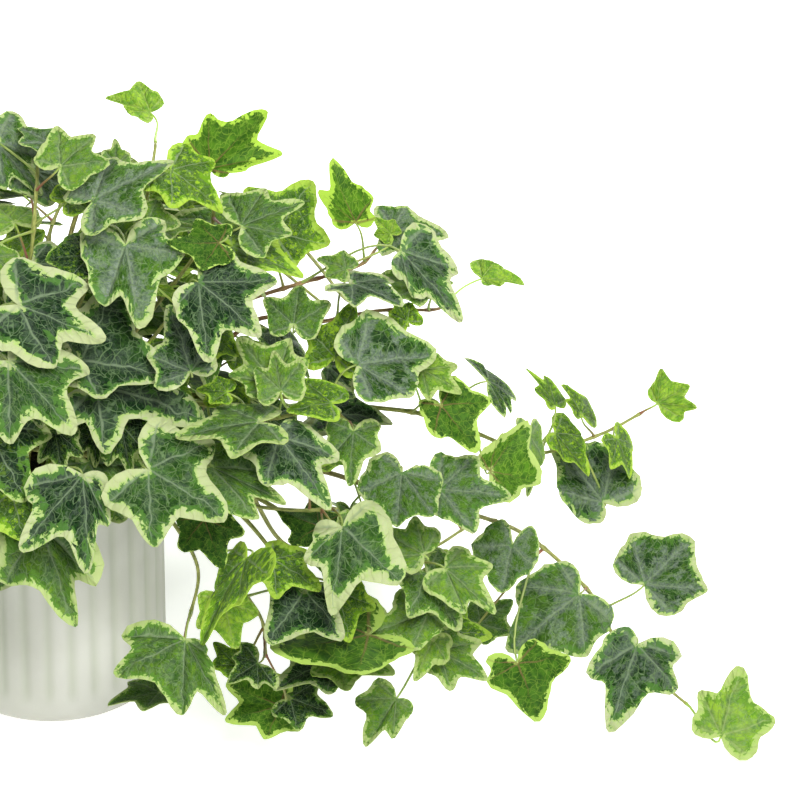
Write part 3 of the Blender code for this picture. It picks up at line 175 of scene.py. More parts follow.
# Leaves read from the photograph, all places as (across, rise). Each has its stem, the heart
# where stalk and blade meet, the tips of its lobes (the middle one, the side lobe and the basal
# lobe that lie counterclockwise from it, then those clockwise from it, None or left out where
# hidden), the slope of its face to the right and upwards, its inset behind the mound, its kind
# where that isn't "broad", and "under" where the blade shows its underside.
READ_LEAVES = (
    (1, (51, 296), ((26, 307), (38, 297), (50, 290), (44, 314), (57, 304)), (0.1, 0.9), 0, "young"),
    (1, (62, 265), ((92, 246), None, (70, 280)), (0.3, 0.8), 0),
    (1, (50, 238), ((68, 237), (55, 250), (39, 247)), (0.0, 0.3), 12, "young"),
    (1, (21, 249), ((62, 274),), (-0.6, 1.0), 20),
    (2, (3, 267), ((22, 287), (1, 290), None, (30, 271)), (0.0, 0.35), 8),
    (2, (-2, 279), ((-20, 292),), (0.2, 1.5), 5, "young"),
    (2, (-10, 264), ((21, 249), (12, 268)), (0.2, 0.8), 16),
    (2, (-31, 280), ((-6, 252), (-5, 271)), (0.1, 0.4), 10),
    (2, (-32, 218), ((-16, 206),), (0.0, 0.4), 8, "young"),
    (3, (19, 219), ((-6, 220), None, None, (8, 233), (28, 225)), (0.0, 0.8), 12, "shallow"),
    (3, (38, 225), ((46, 180), (70, 220), None, (26, 192)), (0.0, 0.35), 4),
    (3, (33, 268), ((32, 284), (26, 277), None, (40, 275)), (0.0, 0.6), 25),
    (4, (83, 266), ((114, 300), (82, 296), (71, 283), (123, 275), (93, 264)), (0.2, -0.2), 0, "under"),
    (4, (100, 235), ((134, 250), (112, 257), (92, 254)), (-0.2, 0.8), 6),
    (4, (98, 234), ((62, 245),), (0.2, 0.9), 14),
    (4, (95, 224), ((136, 211),), (0.3, 1.3), 14),
    (4, (88, 226), ((60, 224),), (0.0, 0.8), 30, "under"),
    (5, (118, 231), ((139, 261), None, None, (148, 225), (130, 214)), (0.0, 0.2), 16),
    (5, (161, 237), ((143, 271), (140, 254), (149, 243), (171, 251), (172, 240)), (0.8, 0.0), 0, "under"),
    (5, (181, 233), ((213, 233), (188, 247)), (0.2, 0.5), 0),
    (5, (185, 222), ((223, 183), (218, 211), (199, 236), (192, 196), (183, 208)), (0.5, 0.2), 4),
    (5, (180, 231), ((171, 241),), (0.0, 0.3), 0, "young"),
    (5, (156, 212), ((140, 220),), (0.0, 0.5), 4, "young"),
    (6, (159, 204), ((188, 196),), (0.1, 2.2), 4),
    (6, (197, 202), ((173, 212),), (0.0, 1.0), 6),
    (6, (200, 202), ((214, 207),), (0.0, 0.8), 0, "young"),
    (6, (229, 207), ((253, 207), (236, 217), (227, 219), (239, 203), (232, 203)), (0.0, 1.2), 0, "young"),
    (6, (189, 184), ((180, 200), None, None, (190, 195)), (0.0, 0.4), 0, "young"),
    (6, (128, 182), ((131, 206), (112, 198), None, (148, 196)), (0.0, 0.3), 18),
    (6, (150, 165), ((159, 196),), (-0.3, 0.3), 18),
    (7, (77, 205), ((112, 177), (121, 207), (90, 223), None, (64, 193)), (0.1, 0.3), 0),
    (7, (73, 157), ((61, 195), None, (53, 150), (88, 178), (87, 160)), (0.0, 0.3), 12),
    (8, (118, 150), ((97, 178), (93, 156), (103, 145), (126, 176), (135, 165)), (0.0, 0.3), 8),
    (8, (121, 147), ((117, 170), (107, 160), None, (133, 165)), (0.0, 0.4), 0),
    (8, (148, 140), ((123, 148), None, None, (132, 155)), (0.2, 1.0), 8),
    (8, (162, 161), ((207, 168), (168, 190), (151, 177), (192, 143), (170, 140)), (0.2, 0.3), 4, "shallow"),
    (8, (160, 125), ((158, 97), (175, 115), None, (146, 110)), (0.0, 0.4), 12),
    (8, (143, 135), ((183, 135),), (0.1, 1.3), 24),
    (8, (90, 140), ((103, 158),), (0.0, 0.4), 25, "young"),
    (8, (92, 146), ((75, 149),), (0.0, 0.6), 14, "young"),
    (9, (-20, 193), ((29, 175), (18, 206)), (0.1, 0.3), 0),
    (9, (-25, 163), ((14, 125), (20, 160), (-8, 182)), (0.1, 0.35), 0),
    (10, (14, 163), ((64, 157), (34, 205), (0, 180), (24, 142), (4, 150)), (0.1, 0.4), 22),
    (10, (22, 150), ((85, 134), None, None, (28, 112)), (0.1, 0.4), 34, "deep"),
    (10, (-12, 143), ((-7, 127),), (0.0, 0.4), 10, "young"),
    (11, (15, 102), ((21, 50), (26, 74), (29, 98), (-16, 64), (-15, 96)), (0.3, 0.3), 0),
    (11, (-8, 76), ((12, 20), (21, 40), None, (-28, 43), (-28, 80)), (0.0, 0.2), 12),
    (11, (-38, 128), ((-14, 88),), (0.0, 0.3), 4),
    (12, (50, 105), ((95, 79), (86, 121), (56, 133), (53, 64), (27, 86)), (0.1, 0.35), 0),
    (12, (110, 130), ((64, 127),), (0.0, 1.9), 12),
    (12, (84, 106), ((126, 87), None, None, (110, 80)), (0.2, 0.6), 14),
    (12, (120, 122), ((149, 86), (154, 113), (129, 132), (113, 97), (98, 116)), (0.1, 0.35), 4),
    (13, (154, 74), ((149, 29), (187, 43), (170, 88), (133, 56), (139, 73)), (0.1, 0.3), 0),
    (13, (80, 78), ((91, 52), (102, 71), None, (66, 62)), (0.0, -0.2), 20, "under"),
    (13, (142, 74), ((118, 82),), (0.0, 0.8), 20, "under"),
    (14, (197, 158), ((219, 147), (217, 161), (206, 167), (200, 142), (191, 152)), (0.0, 0.3), 0),
    (14, (207, 139), ((228, 113), (234, 142), (215, 155), (203, 122), (195, 141)), (0.0, 0.1), 8, "under"),
    (14, (232, 152), ((251, 145), None, (223, 170)), (1.7, 1.9), 0),
    (14, (233, 104), ((251, 133), (238, 121), (228, 113), (262, 97), (249, 90)), (0.7, -0.3), 4, "shallow",
     "under"),
    (14, (254, 123), ((256, 90),), (2.3, 0.2), 14),
    (14, (268, 139), ((254, 161), (258, 150), (265, 138), (264, 156), (274, 142)), (1.3, 0.8), 40, "young"),
    (14, (282, 134), ((274, 152), (276, 144), (280, 133), (290, 143), (298, 130)), (1.3, 0.6), 40, "young"),
    (14, (323, 140), ((341, 151), (325, 160), (319, 149), (345, 139), (337, 132)), (0.0, 0.3), 50, "young"),
    (14, (268, 124), ((288, 103), (283, 123), (273, 135), (274, 110), (264, 118)), (0.8, 0.8), 35, "shallow"),
    (14, (301, 121), ((312, 100),), (1.4, 0.5), 45),
    (14, (294, 87), ((264, 125), (270, 94), (290, 76), (300, 118), (315, 95)), (0.0, 0.2), 40, "shallow"),
    (15, (186, 103), ((183, 75), (204, 79), (208, 99), (162, 92), (176, 114)), (0.0, 0.35), 4, "shallow"),
    (15, (206, 94), ((246, 92), (227, 113), (207, 114), (226, 70), (204, 80)), (0.1, 0.3), 8),
    (15, (245, 64), ((239, 39), (257, 53), None, (223, 64), (242, 79)), (0.0, 0.3), 8, "shallow"),
    (15, (281, 38), ((242, 9), (284, 6), (299, 23), (248, 45), (270, 56)), (0.0, 0.3), 4, "shallow"),
    (15, (316, 43), ((343, 70), (309, 71), (300, 57), (350, 41), (332, 27)), (0.0, 0.3), 4, "shallow"),
    (15, (312, 11), ((296, -35), (334, -13), (336, 5), (285, -6), (303, 20)), (0.0, 0.35), 0),
    (15, (357, -38), ((368, 2), (346, -13), (341, -32), (387, -29), (374, -49)), (0.0, 0.5), 0),
    (15, (248, 1), ((260, -30), (277, 5), None, (231, -9)), (0.0, -0.1), 10, "under"),
    (15, (228, 22), ((246, 36),), (0.0, 0.5), 26),
    (16, (198, 59), ((172, 74), (175, 58), (189, 49), (193, 80), (205, 73)), (0.0, 0.3), 4),
    (16, (209, 52), ((237, 28), (235, 54), (219, 64), (220, 28)), (0.0, 0.3), 2),
    (16, (200, 28), ((167, 17), (191, 8), (209, 22), (183, 41), (199, 44)), (0.0, 0.3), 4),
    (16, (205, 8), ((233, -7), (229, 13), (212, 21), (213, -14), (199, -3)), (0.0, 0.35), 4),
    (16, (183, -18), ((166, -43), (181, -39), (192, -24), (160, -18), (171, -8)), (0.0, 0.4), 0),
    (16, (199, 49), ((219, 19),), (0.5, 0.4), 12),
    (17, (70, 14), ((68, -26), (94, -29), (81, 5), (31, -4), (36, 16)), (0.0, 0.3), 0),
    (17, (56, -15), ((27, -18),), (0.0, 2.2), 10),
    (18, (103, 57), ((72, 13), (99, 33), (117, 48), (84, 40), (95, 61)), (-2.0, 1.4), 0, "shallow"),
    (18, (134, 40), ((114, 12), (156, 15), None, (115, 47)), (0.0, 0.4), 8),
    (18, (117, 56), ((144, 43),), (0.2, 0.8), 14),
    (18, (97, 0), ((85, 13),), (0.0, 0.8), 6, "young"),
    (18, (109, 1), ((92, -8), None, (120, -13)), (0.0, 0.7), 2),
    (18, (121, -22), ((90, -29), (113, -40), None, (90, -9)), (0.0, -0.1), 4, "under"),
    (19, (168, 16), ((114, 2),), (0.0, 1.5), 10, "under"),
    (19, (150, 4), ((183, -2),), (0.0, 1.3), 4),
    (19, (148, 2), ((117, -9),), (0.0, 1.3), 6),
    (19, (126, -18), ((150, -25),), (0.0, 0.6), 8),
    (19, (152, 39), ((158, 13),), (0.0, 0.4), 14),
)

# The sides that the photograph hides or cuts off: ring, direction and reach of each stem
HIDDEN_STEMS = (
    (0, 45, 0.9), (0, 90, 1.0), (0, 135, 1.0), (0, 180, 1.05),
    (1, 33, 0.95), (1, 58, 0.9), (1, 87, 0.9), (1, 120, 0.95), (1, 156, 1.1), (1, 188, 1.2), (1, 218, 1.05),
    (2, 20, 0.9), (2, 46, 0.9), (2, 76, 0.85), (2, 108, 0.85), (2, 142, 1.0), (2, 174, 1.1), (2, 204, 1.05),
    (2, 236, 0.9),
)
PROFILES = (
    ((22, 180), (36, 205), (54, 225), (74, 238), (94, 240)),
    ((40, 180), (66, 210), (104, 226), (145, 216), (182, 190), (214, 156), (236, 128)),
    ((56, 170), (76, 172), (100, 150), (118, 108), (134, 66), (158, 34), (196, 20), (240, 16), (276, 14)),
)
SWAY = (10.0, 14.0, 10.0)
HIDDEN_SEED = 11
LEAF_EVERY = 31.0

# Stems whose far side, away from the photograph, gets leaves of its own, and how many
REAR_LEAVES = {4: 2, 5: 3, 6: 3, 8: 2, 13: 2, 14: 4, 15: 3, 16: 1}

# Where the photograph shows no leaf: above a skyline of (across, rise), and in gaps given as
# (across from, to, rise from, to). Leaves on the hidden sides stay out of these.
FRAME_LEFT = -33.0
SKYLINE = ((-30, 285), (20, 280), (60, 275), (82, 262), (112, 256), (140, 240), (172, 230), (198, 200),
           (216, 172), (232, 60), (420, 60))
VIEW_GAPS = ((-40, 2, -70, 40), (2, 60, -70, 22), (60, 73, -30, 68), (78, 96, 20, 62), (84, 136, 56, 90),
             (137, 205, 184, 254), (150, 161, 90, 104), (152, 200, 112, 128), (196, 232, 66, 84),
             (250, 420, -60, 400))

# How often a leaf that grows by rule is tried, and which way those on the rear sides face
LEAF_TRIES = 14
REAR = Vector((0.35, 0.85, 0.4))

# Lengths of the blades and stalks that grow by rule, and how far their lobes turn and reach
GROWN_LENGTH = (40, 54)
GROWN_YOUNG = 30
GROWN_STALK = (16, 40)
LOBE_TURN = (-5, 5)
LOBE_REACH = (0.9, 1.08)

# How far a stalk may reach, tried in turn for the leaves that were read, and for those that grow
STALK_LONGEST = (46.0, 75.0, 110.0)
STALK_USUAL = 62.0
STALK_SHORTEST = 9.0
STALKS_APART = 4.5

# Finer blades, stems and stalks: steps round the edge and rings from heart to edge, thickness,
# creases and waves as shares of the length, corners round a tube, and the range of the numbers
# that shift each leaf's and stem's pattern
SPAN_STEPS = 5
BLADE_RINGS = (0.2, 0.42, 0.63, 0.82, 0.94, 1.0)
PLAIN_NOTCH = 0.8
TIP_SHARE = 0.93
BASE_TURN = 50.0
HEART_THICK = 0.55
EDGE_THICK = 0.13
CREASE = 0.035
CURL = 0.02
WAVE_DEPTH = (0.014, 0.036)
COARSE_RIPPLE = 0.018
FINE_RIPPLE = 0.012
SEEDS = 60
TOP_SLOT, UNDER_SLOT, STEM_SLOT, STALK_SLOT = range(4)
STEM_ROUND = 9
STALK_ROUND = 6
STALK_STEPS = 9
PATH_STEP = 3.0
RED_STEMS = (5, 6)
RED_LOOK = (0.9, 0.3)

# How a leaf looks: share of grey along its veins, share of young yellow-green, width of the pale
# margin as a share of the blade's length, how light its green is, and how yellow its margin is
LOOKS = {
    "young": (0.10, 1.00, 0.030, 0.80, 0.80),
    "vivid": (0.00, 0.20, 0.050, 0.60, 1.00),
    "light": (0.50, 0.40, 0.050, 0.85, 0.30),
    "grey": (0.60, 0.00, 0.052, 0.16, 0.00),
    "silver": (1.00, 0.00, 0.055, 0.30, 0.10),
    "soft": (0.90, 0.08, 0.034, 0.60, 0.10),
    "misty": (1.00, 0.05, 0.045, 0.50, 0.10),
    "green": (0.05, 0.00, 0.012, 0.20, 0.50),
    "dark": (0.15, 0.00, 0.050, 0.16, 0.25),
    "mid": (0.35, 0.12, 0.050, 0.60, 0.25),
    "cream": (0.30, 0.00, 0.068, 0.04, 0.00),
    "broad cream": (0.30, 0.00, 0.090, 0.50, 0.05),
    "shade": (0.00, 0.05, 0.045, 0.40, 0.60),
    "lemon": (0.05, 0.15, 0.090, 0.50, 0.95),
    "pale": (0.40, 0.75, 0.070, 0.90, 0.45),
}

# Rows of READ_LEAVES that have each look. The last three numbers stand for SHADE_LEAVES' rows.
READ_LOOKS = {
    "young": (0, 21, 25, 26, 62),
    "vivid": (1, 12, 15, 18, 27, 29, 34, 38, 39, 60, 61, 63, 64, 83, 86, 93),
    "light": (2, 4, 8, 11, 22, 24, 32, 33, 59, 75, 76, 77, 78, 79),
    "grey": (20, 23, 31, 51, 71),
    "silver": (35, 65, 70),
    "soft": (66, 67, 68, 69),
    "misty": (3, 5, 6, 7, 10, 19),
    "green": (9, 16, 53, 54),
    "dark": (47, 57, 87, 92, 94, 95, 96),
    "mid": (13, 14, 28, 36, 46, 49, 50, 58, 74, 80, 81, 82),
    "cream": (30, 37, 40, 42, 43, 44, 45, 84, 91),
    "broad cream": (41, 48, 52),
    "lemon": (17, 85),
    "shade": (56, 73, 88, 89),
    "pale": (55, 72, 90),
}

# More leaves, given as READ_LEAVES gives them, in the shade above the pot's rim
SHADE_LEAVES = (
    (11, (0, 126), ((5, 100), (16, 112), (14, 125), (-9, 109), (-9, 121)), (0.0, 0.3), 32),
    (12, (36, 128), ((41, 101), (51, 112), None, (28, 107)), (0.0, 0.3), 34),
    (10, (22, 128), ((22, 106), (32, 114), None, (12, 113)), (0.1, 0.4), 46),
)
SHADE_STALK = 75.0

# A read leaf that would cross a placed one moves to and fro along the line of sight, in steps of
# this many millimetres and up to so many steps
READ_SHIFTS = (3.0, 17)
SHADE_SHIFTS = (4.0, 5)

# Small leaves and those at the stems' tips: lengths of blades and stalks, the places along a
# stem, how often each place is tried, and the most small leaves on a stem
SMALL_LENGTH = (20, 40)
SMALL_STALK = (9, 24)
TIP_LENGTH = (12, 20)
TIP_STALK = (3, 6)
SMALL_SHARES = (0.13, 0.4, 0.65, 0.88)
SMALL_TRIES = 4
SMALL_MOST = 7
SMALL_SEED = 21

# Looks of the leaves that weren't read, drawn with a fixed seed: the longer and the young ones
GROWN_LOOKS = ("grey", "dark", "mid", "cream", "broad cream", "lemon", "soft", "light", "silver", "grey",
               "cream")
YOUNG_LOOKS = ("young", "vivid", "light", "pale")
YOUNG_LENGTH = 27.0
LOOK_SEED = 5

# Colours of the blades, from the darker to the lighter patches or from plain to young or sunny
DEEP_GREEN = (0.0010, 0.0070, 0.0018), (0.0050, 0.0270, 0.0055)
LIT_GREEN = (0.0200, 0.0800, 0.0090), (0.0750, 0.1850, 0.0190)
YOUNG_GREEN = (0.110, 0.270, 0.018), (0.300, 0.480, 0.045)
GREY_GREEN = (0.100, 0.138, 0.105), (0.205, 0.252, 0.195)
FLECK = (0.290, 0.480, 0.020)
VEIN_LINES = (0.130, 0.205, 0.095), (0.230, 0.360, 0.085)
VEIN_CORES = (0.165, 0.225, 0.130), (0.270, 0.370, 0.100)
CREAM = (0.300, 0.355, 0.150), (0.430, 0.475, 0.270)
YELLOW = (0.230, 0.400, 0.020), (0.370, 0.520, 0.070)
HALF_PALE = (0.070, 0.175, 0.030), (0.150, 0.320, 0.012)
PALE_GREEN = (0.270, 0.450, 0.070)
DEEP_UNDER = (0.006, 0.028, 0.003), (0.020, 0.070, 0.006)
LIT_UNDER = (0.030, 0.100, 0.005), (0.085, 0.210, 0.010)
UNDER_LINES = (0.080, 0.150, 0.022), (0.230, 0.390, 0.030)
UNDER_MARGIN = (0.340, 0.430, 0.140), (0.310, 0.490, 0.050)
UNDER_CORE = (0.150, 0.100, 0.040)
FLESH_DEPTHS = (0.0010, 0.0016, 0.0003)
LEAF_FLESH = {"Subsurface_Weight": 0.08, "Subsurface_Radius": FLESH_DEPTHS, "Subsurface_Scale": 0.6}

# How the finer veins branch: their slope, and how far apart they are as a share of the length.
# Then how many cells of the veins' net, and of the margin's steps, lie along a blade.
CHEVRON_SLOPE = 0.95
CHEVRON_APART = 0.075
NET_SCALE = 9.0
FINE_NET_SCALE = 3.1 * NET_SCALE
MARGIN_CELLS = 16.0

# Colours of the stems, stalks, pot, soil and floor
BROWN_BARK = (0.075, 0.050, 0.018), (0.230, 0.160, 0.060)
RED_BARK = (0.130, 0.035, 0.022), (0.340, 0.130, 0.085)
FRESH_BARK = (0.160, 0.190, 0.030), (0.340, 0.360, 0.090)
PORES = (0.280, 0.220, 0.130)
STALK_GREEN = (0.160, 0.240, 0.040), (0.330, 0.400, 0.110)
YOUNG_STALK = (0.300, 0.470, 0.060)
RED_STALK = (0.230, 0.085, 0.045)
GLAZE = (0.500, 0.500, 0.445), (0.560, 0.560, 0.510)
SPECKS = (0.420, 0.400, 0.360)
# Painted shade, tinged green, for the pot's flute grooves
GROOVE_SHADE = (0.400, 0.430, 0.330)
# Darker colour for the lowest part of the pot's foot
FOOT_DARKENING = (0.300, 0.280, 0.240)
HUMUS = (0.020, 0.012, 0.007), (0.085, 0.050, 0.028)
FIBRES = (0.200, 0.125, 0.070)
FLOOR_TONES = (0.90, 0.90, 0.89), (0.93, 0.93, 0.92)

# The floor's own light, which keeps it as white as the photograph's, and half its width in metres
FLOOR_GLOW = 0.64
FLOOR_HALF = 6.0

# The camera's sensor, and the width that the photograph shows, in millimetres. Then the studio's
# lights, each with its place and size in metres and its power in watts.
SENSOR = 36.0
PHOTO_WIDTH = 428.6
WORLD_LIGHT = 0.48
LIGHTS_AIM = (0.1, 0.0, 0.14)
LIGHTS = {
    "key": ((0.5, -1.0, 1.6), 0.8, 39.0),
    "fill": ((-1.2, -1.0, 0.5), 1.2, 4.0),
    "back": ((0.3, 1.3, 1.2), 1.0, 20.0),
}


def seen(across, rise, forward):
    """The point that shows at (across, rise) in the picture plane, this far in front of it."""
    nearness = (VIEW_DISTANCE - forward) / VIEW_DISTANCE
    x = VIEW_CENTRE[0] + (across - VIEW_CENTRE[0]) * nearness
    y = VIEW_CENTRE[1] + (rise - VIEW_CENTRE[1]) * nearness
    return ACROSS * x + RISING * y + TOWARDS * forward


def mound_front(across, rise, inset):
    """How far towards the viewer a point lies, on the mound's near side less an inset."""
    sine, cosine = math.sin(VIEW_PITCH), math.cos(VIEW_PITCH)
    height = rise * cosine - MOUND_HEIGHT
    depth = rise * sine
    a = (cosine / MOUND_DEPTH) ** 2 + (sine / MOUND_RISE) ** 2
    b = 2 * (height * sine / MOUND_RISE**2 - depth * cosine / MOUND_DEPTH**2)
    c = (across / MOUND_WIDTH) ** 2 + (depth / MOUND_DEPTH) ** 2 + (height / MOUND_RISE) ** 2 - 1
    forward = (-b + math.sqrt(max(0.0, b * b - 4 * a * c))) / (2 * a)
    return max(forward - inset, (SEEN_LOWEST - rise * cosine) / sine)


def mound_normal(point):
    depth = MOUND_DEPTH if point.y < 0 else MOUND_BACK
    lean = Vector((point.x / MOUND_WIDTH**2, point.y / depth**2, (point.z - MOUND_HEIGHT) / MOUND_RISE**2))
    return lean.normalized()


def flat_part(direction, normal):
    """What is left of a direction at right angles to a normal, one unit long."""
    return (direction - normal * direction.dot(normal)).normalized()


def about_axis(angle, radius, height):
    return Vector((math.cos(angle) * radius, math.sin(angle) * radius, height))


def smooth_path(controls, step):
    """Points at even steps along one smooth curve through the controls."""
    ends = [controls[0] * 2 - controls[1], *controls, controls[-1] * 2 - controls[-2]]
    dense = []
    for before, start, end, after in zip(ends, ends[1:], ends[2:], ends[3:]):
        for i in range(CURVE_STEPS):
            t = i / CURVE_STEPS
            linear = end - before
            square = 2 * before - 5 * start + 4 * end - after
            cube = 3 * start - before - 3 * end + after
            dense.append(0.5 * (2 * start + linear * t + square * t**2 + cube * t**3))
    dense.append(controls[-1])
    lengths = [0.0]
    for start, end in zip(dense, dense[1:]):
        lengths.append(lengths[-1] + (end - start).length)
    count = max(3, round(lengths[-1] / step))
    path = []
    k = 0
    for i in range(count + 1):
        wanted = lengths[-1] * i / count
        while k < len(dense) - 2 and lengths[k + 1] < wanted:
            k += 1
        share = (wanted - lengths[k]) / max(1e-9, lengths[k + 1] - lengths[k])
        path.append(dense[k].lerp(dense[k + 1], min(1.0, share)))
    return path


def rooted(ring, direction, route):
    """Even steps along a stem that stands upright in the soil, then follows its route."""
    angle = math.radians(direction)
    foot = Vector((math.cos(angle), math.sin(angle), 0.0)) * RING_RADII[ring]
    low = SOIL_TOP - ROOT_DEPTH
    upright = [foot + Vector((0, 0, low + STEM_STEP * i)) for i in range(ROOT_STEPS + 1)]
    return upright[:-1] + smooth_path([upright[-1], *route], STEM_STEP)


def hidden_route(ring, direction, reach, rng):
    """A stem on a side that the photograph doesn't show: a profile turned about the pot."""
    route = []
    drift = rng.uniform(-1, 1) * SWAY[ring]
    for i, (radius, height) in enumerate(PROFILES[ring]):
        angle = math.radians(direction + drift * i / 4 + rng.uniform(-2, 2))
        radius = radius * (1 + (reach - 1) * min(1.0, i / 3))
        height += rng.uniform(-5, 5) * (ring < 2)
        route.append(about_axis(angle, radius, height))
    return route


def stem_routes():
    rng = random.Random(HIDDEN_SEED)
    routes = []
    for ring, direction, points in ROUTES:
        routes.append(rooted(ring, direction, [seen(*point[:2], mound_front(*point)) for point in points]))
    for ring, direction, reach in HIDDEN_STEMS:
        routes.append(rooted(ring, direction, hidden_route(ring, direction, reach, rng)))
    return routes


def spread_stems(paths):
    """Moves stems apart where they pass too close, and off the pot and the floor."""
    owner = np.concatenate([[i] * len(path) for i, path in enumerate(paths)])
    points = np.array([tuple(point) for path in paths for point in path])
    fixed = np.concatenate([[k <= ROOT_STEPS for k in range(len(path))] for path in paths])
    for _ in range(SPREAD_ROUNDS):
        apart = points[:, None] - points[None]
        distance = np.linalg.norm(apart, axis=2) + 1e-6
        close = (distance < STEM_APART) & (owner[:, None] != owner[None])
        push = np.where(close, (STEM_APART - distance) / distance, 0.0)[:, :, None] * apart
        move = SPREAD_SHARE * push.sum(axis=1)
        move[fixed] = 0.0
        points += np.clip(move, -SPREAD_MOST, SPREAD_MOST)
        radius = np.hypot(points[:, 0], points[:, 1])
        low = (radius < POT_RADIUS + RIM_CLEARANCE) & (points[:, 2] < POT_HEIGHT + RIM_CLEARANCE) & ~fixed
        over_rim = low & (points[:, 2] > POT_HEIGHT - RIM_CLEARANCE)
        points[over_rim, 2] = POT_HEIGHT + RIM_CLEARANCE
        beside = low & ~over_rim
        points[beside, :2] *= ((POT_RADIUS + RIM_CLEARANCE) / radius[beside])[:, None]
        points[~fixed, 2] = np.maximum(points[~fixed, 2], STEM_LOWEST)
    return [[Vector(point) for point in points[owner == i]] for i in range(len(paths))]


class Stem:
    def __init__(self, path):
        last = len(path) - 1
        bend = ROOT_STEPS + STEPS_A_RING // 2
        picked = [0, ROOT_STEPS, *range(bend, last + STEPS_A_RING, STEPS_A_RING)]
        self.points = [path[min(i, last)] for i in picked]
        if (self.points[-1] - self.points[-2]).length < 1.0:
            self.points.pop()
        self.radii = []
        for i in range(len(self.points)):
            share = i / (len(self.points) - 1)
            self.radii.append(STEM_ROOT_RADIUS + (STEM_TIP_RADIUS - STEM_ROOT_RADIUS) * share)
        self.used = []

    def places(self, shares, *more):
        """Where a leaf stalk may start, above the pot's rim or outside it."""
        spans = zip(self.points[1:], self.points[2:])
        found = [start.lerp(end, share) for start, end in spans for share in shares]
        return [place for place in (*found, *more)
                if place.z > POT_HEIGHT + OVER_RIM or place.xy.length > POT_RADIUS + BESIDE_RIM]

    def nodes(self):
        return self.places(NODE_SHARES, self.points[-1] - (self.points[-1] - self.points[-2]) * 0.08)

    def tangent(self, place):
        spans = list(zip(self.points, self.points[1:]))
        start, end = min(spans, key=lambda span: (span[0].lerp(span[1], 0.5) - place).length)
        return (end - start).normalized()


def tube(points, radii, sides):
    """A closed tube along the points, with its frame carried along without twist."""
    corners, faces = [], []
    first = (points[1] - points[0]).normalized()
    out = first.orthogonal().normalized()
    for i, point in enumerate(points):
        ahead = points[min(i + 1, len(points) - 1)] - points[max(i - 1, 0)]
        ahead.normalize()
        out = flat_part(out, ahead)
        up = ahead.cross(out)
        for k in range(sides):
            angle = 2 * math.pi * k / sides
            corners.append(point + (out * math.cos(angle) + up * math.sin(angle)) * radii[i])
    for i in range(len(points) - 1):
        for k in range(sides):
            a, b = i * sides + k, i * sides + (k + 1) % sides
            faces += [(a, b, a + sides), (b, b + sides, a + sides)]
    end = (len(points) - 1) * sides
    for k in range(1, sides - 1):
        faces += [(0, k + 1, k), (end, end + k, end + k + 1)]
    return corners, faces


